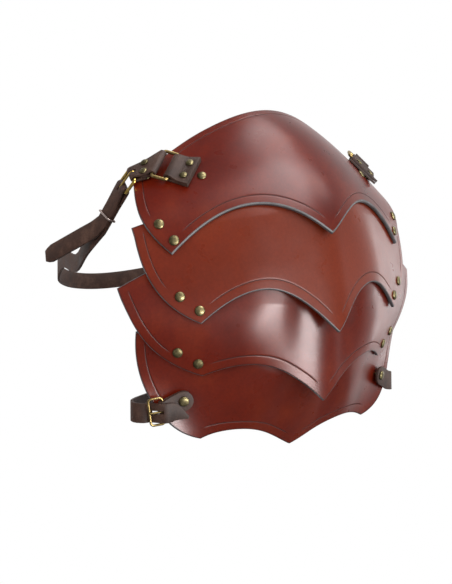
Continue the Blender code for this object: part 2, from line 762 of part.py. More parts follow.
# Chest buckle frame and prong
e, b, n = buckle_axes
frame_half = CHEST_STRAP_WIDTH / 2 + FRAME_PLAY + WIRE
half = CHEST_FRAME_PITCH / 2
frame_loop = rounded_loop(heel + half * e, e, b, half, frame_half, RING_CORNER)
tube("front_buckle_frame", frame_loop, WIRE, BRASS, True, n)
eye = WIRE + BAR_CLEARANCE + PRONG_WIRE
rest = WIRE + TOUCH_GAP + PRONG_WIRE
prong_line = prong_path(heel, e, n, CHEST_FRAME_PITCH + PRONG_TIP, rest, eye)
tube("front_buckle_prong", prong_line, PRONG_WIRE, BRASS, False, b, origin=heel)
slot = PRONG_WIRE + SLOT_CLEARANCE
cut_box(chape, "front_tab_slot", heel + SLOT_REACH / 2 * end_axes[0], end_axes,
        (SLOT_REACH / 2 + eye + PRONG_WIRE + SLOT_CLEARANCE, slot, 2 * CHAPE_FOLD))

# Keeper: a wire loop round both layers of the doubled strap
layer = (STRAP_LEATHER + TOUCH_GAP) / 2
ke, kb, kn = keeper_axes
keeper_half = CHEST_STRAP_WIDTH / 2 + KEEPER_PLAY + KEEPER_WIRE
keeper_lift = layer + STRAP_LEATHER / 2 + KEEPER_PLAY + KEEPER_WIRE
keeper_loop = rounded_loop(keeper, kb, kn, keeper_half, keeper_lift, 2 * KEEPER_WIRE)
tube("chest_strap_keeper", keeper_loop, KEEPER_WIRE, BRASS, True, ke, origin=keeper)

# Chest strap: riveted fold at the rear ring, round the body, up through the buckle and back
rear_far, rear_axes, rear_heel, rear_end_axes, rear_toe = chain(1)[:5]
rear_map, rear_length = skewed_mapping(rear_far, rear_axes, rear_heel, rear_end_axes)
rear_path = [(REAR_LEG, -FOLD), (REAR_LEG / 2, -FOLD)]
rear_path += arc_places(FOLD, -pi / 2, -3 * pi / 2, 6)
for share, ease in ((0.16, 0.30), (0.32, 0.80), (0.48, 1.0), (0.70, 1.0), (1.0, 1.0)):
    rear_path.append((share * rear_length, blend(FOLD, TAB_HIGH, ease)))
stations = []
for (s, h), (ds, dh) in zip(rear_path, offset_places(rear_path)):
    centre, se, sb, sn = rear_map(s, h)
    stations.append((centre, sb, ds * se + dh * sn, CHEST_STRAP_WIDTH))


def torso_place(turn):
    """Strap place and outward direction round the body, turned from the front middle."""
    out = np.array((-sin(turn) * TORSO_HALF_DEPTH, -cos(turn) * TORSO_HALF_WIDTH, 0.0))
    fall = CHEST_HIGH + (CHEST_LOW - CHEST_HIGH) * sin(turn)
    place = (-TORSO_CENTRE - TORSO_HALF_WIDTH * sin(turn), -TORSO_HALF_DEPTH * cos(turn), -fall)
    return np.array(place), unit(out)


def even_width(s, total):
    """The chest strap's width away from its tip."""
    return CHEST_STRAP_WIDTH


run = [(stations[-2][0], stations[-2][2]), (stations[-1][0], stations[-1][2])]
run.append((rear_toe, mirrored(BUCKLE_OUT, 1)))
back_place, back_out = torso_place(pi)
off_back = BACK_STAND_OFF * np.array((0.0, 1.0, 0.0))
run.append((blend(rear_toe, back_place, 0.45) + off_back, back_out))
run += [torso_place(pi * i / 8) for i in range(8, 0, -1)]
for (inward, forward, fall), direction in CHEST_SHARES:
    place = (-inward * TORSO_CENTRE, -forward * TORSO_HALF_DEPTH, -fall * CHEST_LOW)
    run.append((np.array(place), unit(np.array(direction))))
for step in (2, 1, 0, -1, -2):
    run.append((keeper + step * KEEPER_STEP * ke - layer * kn, kn))
run.append((toe - FOLD * n, n))
spans = [1, 3, 4, 6] + [6] * 7 + [6, 5, 4, 1, 1, 1, 1, 4]
stations += route_stations(run, spans, even_width)[2:-1]
fold_path = arc_places(FOLD, -pi / 2, -3 * pi / 2, 8)
for (s, h), (ds, dh) in zip(fold_path, offset_places(fold_path)):
    stations.append((toe + s * e + h * n, -b, -(ds * e + dh * n), CHEST_STRAP_WIDTH))


def free_width(s, total):
    """Strap width towards its blunt tip."""
    left = (total - s) / CHEST_STRAP_WIDTH
    return CHEST_STRAP_WIDTH * (0.62 + 0.38 * min(left / 0.35, 1.0))


free = [(toe + FOLD * n, -n)]
for step in (-2, -1, 0, 1):
    free.append((keeper + step * KEEPER_STEP * ke + layer * kn, -kn))
bend = keeper + 2 * KEEPER_STEP * ke + (layer + FREE_LIFT) * kn
pull = unit(np.array(FREE_PULL))
for share in (0.10, 0.32, 0.58, 0.96, 1.0):
    free.append((bend + share * FREE_END * pull, -unit(np.array(FREE_OUT))))
stations += route_stations(free, [4, 2, 1, 1, 3, 4, 3, 4, 1], free_width)[1:]
strap = ribbon("chest_strap", stations, STRAP_LEATHER, BROWN)
cut_box(strap, "front_strap_slot", toe - SLOT_REACH * e + FOLD * n, buckle_axes,
        (FOLD + STRAP_LEATHER / 2 + SLOT_REACH, slot, FOLD))
leg_middle, _, leg_across, leg_out = rear_map(0.62 * rear_length, TAB_LOW)
for label, side in (("upper", -1), ("lower", 1)):
    place = leg_middle + side * REAR_RIVET_SPACING / 2 * leg_across
    rivet(f"rear_strap_rivet_{label}", place, leg_out, SMALL_CAP, [strap], BRASS)

# Arm buckle on the front of the bottom lame
ARM_PLACE_SHARE = (0.882, 0.604)
ARM_FOLD = FINE_WIRE + BAR_CLEARANCE + STRAP_LEATHER / 2
ARM_TAB_TOP = -ARM_FOLD + LEG_STEP


def arm_axes(sign):
    """Point on the bottom lame under the arm rivet, with level forward, down and outward axes."""
    y = sign * ARM_PLACE_SHARE[0] * HALF_SPAN
    base = plate_point(4, y, ARM_PLACE_SHARE[1])
    out = plate_normal(4, y, ARM_PLACE_SHARE[1])
    level = unit(np.array((sign * -out[1], sign * out[0], 0.0)))
    down = unit(np.cross(out, level))
    return base, level, down if down[2] < 0 else -down, out


base, level, down, out = arm_axes(-1)
tab_axes_arm = axes_from(cos(ARM_TAB_DIP) * level + sin(ARM_TAB_DIP) * down, out)
reach = (-ARM_TAB_WIDTH / 2, ARM_HEEL)
seat = max(face_heights(plates[4], base, tab_axes_arm, reach, ARM_TAB_WIDTH, max))
arm_base = base + (seat + ARM_SEAT_GAP + STRAP_LEATHER / 2 + ARM_FOLD) * out
arm_heel = arm_base + ARM_HEEL * tab_axes_arm[0]
frame_axes = axes_from(cos(ARM_FRAME_DIP) * level + sin(ARM_FRAME_DIP) * down, out)
arm_toe = arm_heel + ARM_FRAME_PITCH * frame_axes[0]
arm_map, arm_length = skewed_mapping(arm_base, tab_axes_arm, arm_heel, frame_axes)


def arm_tab_width(s):
    """Width of the arm tab, round about its rivet."""
    half = ARM_TAB_WIDTH / 2
    return 2 * sqrt(max(half * half - min(s, 0.0) ** 2, (0.15 * half) ** 2))


round_shares = (-0.98, -0.85, -0.60, -0.30, 0.0)
arm_tab_path = [(share * ARM_TAB_WIDTH / 2, ARM_TAB_TOP) for share in round_shares]
arm_tab_path += [(0.55 * arm_length, blend(ARM_TAB_TOP, ARM_FOLD, 0.10))]
arm_tab_path += [(0.80 * arm_length, blend(ARM_TAB_TOP, ARM_FOLD, 0.75))]
arm_tab_path += [(arm_length + s, h) for s, h in arc_places(ARM_FOLD, pi / 2, -pi / 2, 6)]
arm_tab_path += [(share * ARM_TAB_WIDTH / 2, -ARM_FOLD) for share in round_shares[::-1][:4]]
arm_tab = folded_strip("arm_buckle_tab", arm_tab_path, arm_map, arm_tab_width, STRAP_LEATHER, BROWN)
e, b, n = frame_axes
arm_half = ARM_FRAME_WIDTH / 2 + FINE_WIRE
half = ARM_FRAME_PITCH / 2
arm_loop = rounded_loop(arm_heel + half * e, e, b, half, arm_half, RING_CORNER)
tube("arm_buckle_frame", arm_loop, FINE_WIRE, BRASS, True, n)
arm_eye = FINE_WIRE + BAR_CLEARANCE + PRONG_WIRE
arm_rest = FINE_WIRE + TOUCH_GAP + PRONG_WIRE
arm_prong = prong_path(arm_heel, e, n, ARM_FRAME_PITCH + PRONG_TIP, arm_rest, arm_eye)
tube("arm_buckle_prong", arm_prong, PRONG_WIRE, BRASS, False, b, origin=arm_heel)
cut_box(arm_tab, "arm_tab_slot", arm_heel + SLOT_REACH / 2 * e, frame_axes,
        (SLOT_REACH / 2 + arm_eye + PRONG_WIRE + SLOT_CLEARANCE, slot, 2 * ARM_FOLD))
rivet("arm_front_rivet", base, out, LAME_CAP, [arm_tab, plates[4]], BRASS)

# Arm strap: from the rear rivet round inside the arm, under the toe bar and back over the tab
rear_base, rear_level, rear_down, rear_out = arm_axes(1)
rear_dip_axes = axes_from(cos(ARM_REAR_DIP) * rear_level + sin(ARM_REAR_DIP) * rear_down, rear_out)
reach = (-ARM_TAB_WIDTH / 2, 1.5 * ARM_TAB_WIDTH)
rear_seat = max(face_heights(plates[4], rear_base, rear_dip_axes, reach, ARM_STRAP_WIDTH, max))
rear_top = rear_base + (rear_seat + ARM_SEAT_GAP + STRAP_LEATHER / 2) * rear_out
arm_run = [(rear_top + share * ARM_STRAP_WIDTH * rear_dip_axes[0], rear_out)
           for share in (-0.49, -0.42, -0.28, 0.0, 0.6, 1.1, 1.5)]
# Route inside the arm: out from the body and sideways (of the loop's depth and half length)
ARM_ROUTE_SHARES = (
    (0.29, 0.955, 0.5, 0.85),
    (0.385, 0.98, 0.0, 1.0),
    (0.54, 0.94, -0.75, 0.65),
    (0.70, 0.82, -0.83, 0.55),
    (0.90, 0.60, -0.9, 0.4),
    (1.0, 0.30, -1.0, 0.2),
    (1.03, 0.0, -1.0, 0.0),
)


def arm_place(row, sign):
    """A place of the strap inside the arm with its outward direction."""
    out_share, side_share, out_x, out_y = row
    half = abs(base[1]) + ARM_LOOP_REACH
    place = (-out_share * ARM_LOOP_DEPTH, sign * side_share * half, base[2] - ARM_LOOP_FALL)
    return np.array(place), unit(np.array((out_x, sign * out_y, 0.0)))


arm_run += [arm_place(row, 1) for row in ARM_ROUTE_SHARES]
arm_run += [arm_place(row, -1) for row in ARM_ROUTE_SHARES[-2::-1]]
under = STRAP_LEATHER / 2 + TOUCH_GAP + FINE_WIRE + WEAVE_PLAY
over = ARM_FOLD + STRAP_LEATHER + TOUCH_GAP + WEAVE_PLAY
lying = ARM_TAB_TOP + STRAP_LEATHER + TOUCH_GAP
low_toe = arm_toe + STRAP_SHIFT / 2 * b - under * n
high_heel = arm_heel + STRAP_SHIFT * b + over * n
arm_run.append((low_toe, n))
arm_run.append((blend(low_toe, high_heel, 0.5), n))
arm_run.append((high_heel, n))
arm_run.append((high_heel - 0.45 * ARM_HEEL * level - 0.7 * (over - lying) * n, n))
rest_line = high_heel - (over - lying) * n
arm_run.append((rest_line - 0.80 * ARM_HEEL * level + STRAP_DRIFT / 2 * down, n))
arm_run.append((rest_line - 1.12 * ARM_HEEL * level + STRAP_DRIFT * down, n))
arm_spans = [1, 1, 1, 2, 2, 1, 2] + [3] * 3 + [4] * 6 + [3] * 3 + [2, 2, 2, 3, 2, 3]


def arm_width(s, total):
    """Arm strap width: round at the riveted end, pointed at the free end."""
    half = ARM_STRAP_WIDTH / 2
    start = max(half - s, 0.0)
    end = 2 * sqrt(max(half * half - start * start, (0.2 * half) ** 2))
    tip = min((total - s) / (0.85 * ARM_STRAP_WIDTH), 1.0)
    return min(end, ARM_STRAP_WIDTH * (0.12 + 0.88 * tip))


arm_stations = route_stations(arm_run, arm_spans, arm_width)
arm_strap = ribbon("arm_strap", arm_stations, STRAP_LEATHER, BROWN)
cut_box(arm_strap, "arm_strap_slot", blend(arm_heel, arm_toe, 0.42) + arm_rest * n, frame_axes,
        (0.36 * ARM_FRAME_PITCH, slot, over))
rivet("arm_rear_rivet", rear_base, rear_out, LAME_CAP, [arm_strap, plates[4]], BRASS)
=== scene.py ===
from math import cos, pi, radians, sin

import bmesh
import bpy
import numpy as np
from mathutils import Matrix, Vector
from mathutils.bvhtree import BVHTree


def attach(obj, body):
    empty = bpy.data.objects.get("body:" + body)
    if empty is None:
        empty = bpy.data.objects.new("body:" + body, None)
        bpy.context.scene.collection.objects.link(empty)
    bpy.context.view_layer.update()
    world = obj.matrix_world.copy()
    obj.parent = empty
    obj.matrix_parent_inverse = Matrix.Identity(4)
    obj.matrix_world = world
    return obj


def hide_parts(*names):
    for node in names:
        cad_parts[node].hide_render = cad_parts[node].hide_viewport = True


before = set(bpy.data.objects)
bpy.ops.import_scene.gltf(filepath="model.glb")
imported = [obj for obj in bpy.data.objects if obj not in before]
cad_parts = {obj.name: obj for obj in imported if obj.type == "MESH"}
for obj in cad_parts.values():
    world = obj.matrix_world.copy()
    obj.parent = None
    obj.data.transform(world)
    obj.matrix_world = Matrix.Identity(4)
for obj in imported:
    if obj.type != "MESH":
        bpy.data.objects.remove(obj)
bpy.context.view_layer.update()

# The four plates
# Vegetable-tanned leather about 3.2 mm thick, cut with scalloped lower edges and wet-formed over a
# shoulder shape. Each plate overlaps the next one down, and rivets hold them at both ends.
PLATES = {1: "top_plate", 2: "second_lame", 3: "third_lame", 4: "bottom_lame"}
PLATE_DEPTH = 0.100
DROP = 0.200
HALF_SPAN = 0.134
LEATHER = 0.0032
LAP_GAP = 0.0008
TOP_BULGE = 0.0165
# How far each lame reaches up under the plate above it
THIRD_LAP_SHARE = 0.335
LAPS = {2: 0.0393, 3: THIRD_LAP_SHARE * DROP, 4: 0.0318}
# How far out from the ridge a lame starts to follow the plate above, and the length it takes
EASE_START = 0.020
EASE_LENGTH = 0.065
# The bend where a lame comes out from under a lap is softer than the solid's, by less than 1 mm
LAP_BLEND_SHARE = 0.19
# Each row is the line of one lower plate edge, the first the neck edge: ridge out and up, corner out,
# sideways and up, and the roundness of the ridge, as shares of PLATE_DEPTH, DROP and HALF_SPAN
STATION_SHARES = (
    (-0.377, 0.130, -0.663, 0.985, -0.165, 0.644),
    (0.541, -0.423, -0.027, 1.001, -0.506, 0.363),
    (0.638, -0.858, 0.138, 0.862, -0.805, 0.243),
    (0.431, -1.178, 0.023, 0.789, -1.042, 0.275),
    (-0.045, -1.412, -0.116, 0.727, -1.336, 0.349),
)
# Outline of each plate: upper tip side and depth, control point side and depth, scallop depth and
# scallop skew. Sides are shares of HALF_SPAN, depths shares of the plate's own height
OUTLINE_SHARES = {
    1: (1.025, 0.10, 1.246, 0.67, 0.25, 1.17),
    2: (1.195, 0.14, 1.210, 0.84, 0.31, 1.14),
    3: (1.328, 0.45, 1.249, 1.00, 0.19, 1.04),
    4: (1.211, 0.15, 1.076, 0.99, 0.19, 1.14),
}
# Steps that measure a slope: sideways in metres, and as shares down, along and in from an edge
PROBE = 0.0005
PROBE_SHARE = 0.004
ALONG_STEP_SHARE = 0.003
DOWN_STEP_SHARE = 0.01
INWARD_STEP_SHARE = 0.02
# Rounded edges, and the paint on them, broadest on the lower edge of the top plate
EDGE_ROUND = 0.0008
INNER_ROUND = 0.0005
LOW_ROUND = {1: 0.0015, 2: 0.0011, 3: 0.0010, 4: 0.0009}
EDGE_PAINT = 0.0007
LOW_PAINT = {1: 0.0020, 2: 0.0011, 3: 0.0008, 4: 0.0007}
# Places of a plate's finishes
GRAIN_SIDE, PAINTED, FLESH_SIDE = 0, 1, 2
# The tooled line, with where it stops short of cusps, tips and neck tips and how it fades out
GROOVE_PLACE = 0.0086
GROOVE_HALF_WIDTH = 0.00042
GROOVE_DEPTH = 0.00028
CUSP_STOP = 0.006
CUSP_FADE = 0.006
TIP_STOP = 0.020
NECK_STOP = 0.040
END_FADE = 0.010
SIDE_STOP_SHARES = {1: 0.60, 2: 0.60, 3: 0.66, 4: 0.70}
# Painted light: the second lame is painted lighter, most of all down its middle, for the brighter light
# on it
PAINTED_LIGHT_SHARES = {1: 0.0, 2: 0.55, 3: 0.08, 4: 0.10}
PAINTED_LIGHT_FALL_SHARE = 0.6
# Distances from a cut edge at which the mesh has a line: the rounded edge first, then the groove
EDGE_LINES = np.array([
    0, 0.0001, 0.0003, 0.0006, 0.0010, 0.0014, 0.0019, 0.0024, 0.0034, 0.0050, 0.0068, 0.0077,
    0.0081, 0.0083, 0.0085, 0.0087, 0.0089, 0.0091, 0.0095, 0.0104, 0.0120, 0.0140, 0.0165])
MARGIN = EDGE_LINES[-1]
# Counts: mesh lines inside those, rounds that settle their places, and places to measure a rate
MIDDLE_COLUMNS = 131
MIDDLE_ROWS = 42
GRID_ROUNDS = 5
RATE_COLUMNS = 160
RATE_ROWS = 80


def smooth_step(value):
    """0 to 1 with level ends."""
    value = np.clip(value, 0.0, 1.0)
    return value * value * (3.0 - 2.0 * value)


def bow(value):
    """Height of a hyperbola above its lowest point."""
    return np.sqrt(1.0 + value * value) - 1.0


def edge_line(k, y):
    """Lower edge line of plate k at sideways place y, before its scallops."""
    ridge_x, ridge_z, corner_x, corner_y, corner_z, turn = STATION_SHARES[k]
    share = bow(y / (turn * HALF_SPAN)) / bow(np.array(corner_y / turn))
    x = PLATE_DEPTH * (ridge_x + (corner_x - ridge_x) * share)
    z = DROP * (ridge_z + (corner_z - ridge_z) * share)
    return np.stack([x, y, z], -1)


def plate_lines(k, y):
    """Upper line, lower line, bow and where the bow peaks, with the lap's start and its hug."""
    lower = edge_line(k, y)
    if k == 1:
        upper = edge_line(0, y)
        run = lower - upper
        out = np.stack([-run[..., 2], 0.0 * y, run[..., 0]], -1)
        out = out / np.linalg.norm(out, axis=-1, keepdims=True)
        return upper, lower, out * TOP_BULGE, np.full(np.shape(y), 0.5), None, None
    above = edge_line(k - 1, y)
    top, bottom, bend, middle, _, _ = plate_lines(k - 1, y)
    run = bottom - top
    start = 1.0 - LAPS[k] / np.linalg.norm(run, axis=-1)
    out = np.cross(edge_line(k - 1, y + PROBE) - edge_line(k - 1, y - PROBE), run)
    out = out / np.linalg.norm(out, axis=-1, keepdims=True)
    out = out * np.where(out[..., :1] < 0.0, -1.0, 1.0)
    inset = (LEATHER + LAP_GAP) * out
    share = start * (1.0 - start) / (middle * (1.0 - middle))
    upper = top + start[..., None] * run + share[..., None] * bend - inset
    touch = LAPS[k] / np.linalg.norm(lower - upper, axis=-1)
    chord = upper + touch[..., None] * (lower - upper)
    hug = smooth_step((np.abs(y) - EASE_START) / EASE_LENGTH)[..., None]
    return upper, lower, hug * (above - inset - chord), touch, start, hug


def bowed(upper, lower, bend, middle, t):
    """Point at share t of a line that bows out most evenly about its middle."""
    share = t * (1.0 - t) / (middle * (1.0 - middle))
    return upper + t[..., None] * (lower - upper) + share[..., None] * bend


def plate_point(k, y, t):
    """A point of plate k's outer face at sideways place y and share t of its height."""
    upper, lower, bend, touch, start, hug = plate_lines(k, y)
    place = bowed(upper, lower, bend, touch, t)
    if k == 1:
        return place
    ahead = touch - t
    reach = np.maximum(ahead, LAP_BLEND_SHARE)
    lap_t = start + (1.0 - start) * (touch - reach) / touch
    lap = plate_point(k - 1, y, lap_t) - (LEATHER + LAP_GAP) * plate_normal(k - 1, y, lap_t)
    rate = (lap - bowed(upper, lower, bend, touch, touch - reach)) / reach[..., None]
    ease = 0.5 * (ahead + np.sqrt(ahead * ahead + LAP_BLEND_SHARE ** 2))
    return place + hug * rate * ease[..., None]


def plate_normal(k, y, t):
    """Outward normal of plate k's outer face."""
    across = plate_point(k, y + PROBE, t) - plate_point(k, y - PROBE, t)
    down = plate_point(k, y, t + PROBE_SHARE) - plate_point(k, y, t - PROBE_SHARE)
    out = np.cross(across, down)
    out = out / np.linalg.norm(out, axis=-1, keepdims=True)
    return out * np.where(out[..., :1] < 0.0, -1.0, 1.0)


def plate_outline(k, u, v):
    """Sideways place and height share from shares u across (-1 to 1) and v down (0 to 1)."""
    tip_y, tip_t, control_y, control_t, dip, skew = OUTLINE_SHARES[k]
    side = (1 - v) ** 2 * tip_y + 2 * v * (1 - v) * control_y + v * v * STATION_SHARES[k][3]
    edge = (1 - v) ** 2 * tip_t + 2 * v * (1 - v) * control_t + v * v
    top = tip_t * (np.clip(np.abs(u) - 0.5, 0.0, 0.5) / 0.5) ** 2
    wave = np.abs(u) ** skew
    low = 1.0 - dip * 4.0 * wave * (1.0 - wave)
    t = (1 - v) * top + v * low + (edge - (1 - v) * tip_t - v) * np.abs(u) ** 4
    return u * side * HALF_SPAN, t


def on_plate(k, u, v):
    """A point of plate k's outer face from its shares across and down."""
    return plate_point(k, *plate_outline(k, u, v))


def inward_rate(along, into, step):
    """Metres straight in from an edge for each unit of share, from steps along it and into it."""
    return np.linalg.norm(np.cross(along, into), axis=-1) / np.linalg.norm(along, axis=-1) / step


def edge_rates(k):
    """Metres in from the lower, upper and side edges for each unit of share, as functions."""
    u = np.linspace(ALONG_STEP_SHARE, 1.0, RATE_COLUMNS)
    v = np.linspace(0.0, 1.0, RATE_ROWS)
    rates = []
    for at, inward in ((1.0, -INWARD_STEP_SHARE), (0.0, INWARD_STEP_SHARE)):
        edge = u * 0 + at
        along = on_plate(k, u, edge) - on_plate(k, u - ALONG_STEP_SHARE, edge)
        into = on_plate(k, u, edge + inward) - on_plate(k, u, edge)
        rates.append(inward_rate(along, into, INWARD_STEP_SHARE))
    edge = v * 0 + 1
    along = on_plate(k, edge, np.minimum(v + DOWN_STEP_SHARE, 1))
    along = along - on_plate(k, edge, np.maximum(v - DOWN_STEP_SHARE, 0))
    into = on_plate(k, edge - INWARD_STEP_SHARE, v) - on_plate(k, edge, v)
    side = inward_rate(along, into, INWARD_STEP_SHARE)
    return (lambda a: np.interp(np.abs(a), u, rates[0]), lambda a: np.interp(np.abs(a), u, rates[1]),
            lambda a: np.interp(a, v, side))


def plate_grid(k):
    """Shares across and down plate k, with mesh lines at EDGE_LINES from each cut edge, and the
    distances of those lines from the side, lower and upper edges."""
    low_rate, top_rate, side_rate = edge_rates(k)
    columns = np.linspace(-1, 1, MIDDLE_COLUMNS)[1:-1]
    rows = np.linspace(0, 1, MIDDLE_ROWS)[1:-1]
    count = len(EDGE_LINES)
    side_gap = np.concatenate([EDGE_LINES, np.full(len(columns), MARGIN), EDGE_LINES[::-1]])[:, None]
    centre_u = np.concatenate([np.full(count, -1.0), columns, np.full(count, 1.0)])[:, None]
    low_gap = np.concatenate([np.full(count + len(rows), MARGIN), EDGE_LINES[::-1]])[None, :]
    top_gap = np.concatenate([EDGE_LINES, np.full(len(rows) + count, MARGIN)])[None, :]
    centre_v = np.concatenate([np.zeros(count), rows, np.ones(count)])[None, :]
    u, v = centre_u + 0 * centre_v, centre_v + 0 * centre_u
    for _ in range(GRID_ROUNDS):
        u = centre_u * (1 - side_gap / side_rate(v))
        near_top, near_low = top_gap / top_rate(u), 1 - low_gap / low_rate(u)
        v = near_top + (near_low - near_top) * centre_v
    return u, v, side_gap, low_gap, top_gap


def run_length(points):
    """Distance along a line of points from its first."""
    return np.concatenate([[0], np.cumsum(np.linalg.norm(np.diff(points, axis=0), axis=1))])


def tooled_line(k, outer, side_gap, low_gap, top_gap):
    """Depth share of the line along the side and lower edges, and the neck edge of the top plate."""
    along = run_length(outer[:, -1])[:, None]
    down = run_length(outer[-1])[None, :]
    cusp = np.abs(along - along[len(along) // 2])
    tip = np.minimum(along, along[-1] - along)
    stop = SIDE_STOP_SHARES[k] * down[0, -1]
    low = smooth_step((cusp - CUSP_STOP) / CUSP_FADE) * smooth_step((tip - TIP_STOP) / END_FADE)
    side = smooth_step((stop - down) / END_FADE) * smooth_step((down - CUSP_STOP) / CUSP_FADE)
    neck = smooth_step((tip - NECK_STOP) / END_FADE) * (k == 1)
    depth = 0 * (side_gap + low_gap)
    for gap, fade in ((low_gap, low), (side_gap, side), (top_gap, neck)):
        depth = np.maximum(depth, fade * np.exp(-((gap - GROOVE_PLACE) / GROOVE_HALF_WIDTH) ** 2))
    return depth


def rounded(radius, gap):
    """How far a rounded edge lies below the flat at a distance from the cut."""
    return radius * (1 - np.sqrt(1 - np.clip(1 - gap / radius, 0, 1) ** 2))


def plate_faces(k, gap, low_gap):
    """Faces of the outer side, the inner side and the rim between them, and what covers each."""
    columns, lines = gap.shape
    inner = columns * lines
    faces, covers = [], []
    for i in range(columns - 1):
        for j in range(lines - 1):
            a, b = i * lines + j, i * lines + j + 1
            c, d = b + lines, a + lines
            at_edge = max(gap[i, j], gap[i + 1, j + 1]) < EDGE_PAINT
            painted = at_edge or max(low_gap[0, j:j + 2]) < LOW_PAINT[k]
            faces += [(a, b, c, d), (inner + d, inner + c, inner + b, inner + a)]
            covers += [PAINTED, PAINTED] if painted else [GRAIN_SIDE, FLESH_SIDE]
    rim = [i * lines for i in range(columns)]
    rim += [(columns - 1) * lines + j for j in range(1, lines)]
    rim += [i * lines + lines - 1 for i in range(columns - 2, -1, -1)]
    rim += list(range(lines - 2, 0, -1))
    for a, b in zip(rim, rim[1:] + rim[:1]):
        faces.append((a, b, inner + b, inner + a))
        covers.append(PAINTED)
    return faces, covers


def turn_outwards(mesh):
    """Points every face of a closed mesh outwards."""
    shape = bmesh.new()
    shape.from_mesh(mesh)
    bmesh.ops.recalc_face_normals(shape, faces=shape.faces)
    shape.to_mesh(mesh)
    shape.free()


def plate_mesh(k, name):
    """One leather plate with rounded cut edges and its tooled line."""
    u, v, side_gap, low_gap, top_gap = plate_grid(k)
    y, t = plate_outline(k, u, v)
    outer = plate_point(k, y, t)
    normal = plate_normal(k, y, t)
    groove = tooled_line(k, outer, side_gap, low_gap, top_gap)
    gap = np.minimum(np.minimum(side_gap, low_gap), top_gap + 0 * side_gap)
    sunk = np.maximum(rounded(EDGE_ROUND, gap), rounded(LOW_ROUND[k], low_gap + 0 * side_gap))
    outer_face = outer - (GROOVE_DEPTH * groove + sunk)[..., None] * normal
    inner_face = outer - (LEATHER - rounded(INNER_ROUND, gap))[..., None] * normal
    points = np.concatenate([outer_face.reshape(-1, 3), inner_face.reshape(-1, 3)])
    faces, covers = plate_faces(k, gap, low_gap)
    mesh = bpy.data.meshes.new(name)
    mesh.from_pydata(points.tolist(), [], faces)
    turn_outwards(mesh)
    mesh.polygons.foreach_set("material_index", covers)
    # painted light: a lighter tone, strongest on the second lame and down each plate's middle
    lit_share = PAINTED_LIGHT_SHARES[k] * (1 - PAINTED_LIGHT_FALL_SHARE * np.abs(u) ** 2)
    for label, outside, inside in (("cut_edge_gap", gap, gap), ("tooled", groove, 0 * groove),
                                   ("thin_dye", lit_share, lit_share)):
        values = np.concatenate([outside.reshape(-1), inside.reshape(-1)]).astype(np.float32)
        mesh.attributes.new(label, "FLOAT", "POINT").data.foreach_set("value", values)
    mesh.shade_smooth()
    return mesh


def srgb(code):
    """Linear colour of an sRGB hex value."""
    parts = [int(code[i:i + 2], 16) / 255 for i in (1, 3, 5)]
    return tuple(p / 12.92 if p <= 0.04045 else ((p + 0.055) / 1.055) ** 2.4 for p in parts) + (1.0,)


def per_metre(spacing):
    """Pattern scale, in whole repeats to the metre, from a real spacing in millimetres."""
    return float(round(1000 / spacing))


def add(tree, kind, values=()):
    """A node of one kind. Each value is a setting, an input, or a node or output to link there."""
    new = tree.nodes.new(kind)
    for name, value in dict(values).items():
        if isinstance(value, bpy.types.Node):
            value = value.outputs[0]
        if isinstance(value, bpy.types.NodeSocket):
            tree.links.new(value, new.inputs[name])
        elif name == "stops":
            ramp = new.color_ramp
            while len(ramp.elements) < len(value):
                ramp.elements.new(1.0)
            for element, (place, colour) in zip(ramp.elements, value):
                element.position = place
                element.color = colour
        elif isinstance(name, int) or name in new.inputs:
            new.inputs[name].default_value = value
        else:
            setattr(new, name, value)
    return new


def empty_material(name):
    """A node material with nothing in its tree."""
    material = bpy.data.materials.new(name)
    material.use_nodes = True
    material.node_tree.nodes.clear()
    return material, material.node_tree


# Sockets of a Mix node that mixes colours, which share their names with others
MIX_SHARE, MIX_FROM, MIX_TO, MIXED = 0, 6, 7, 2


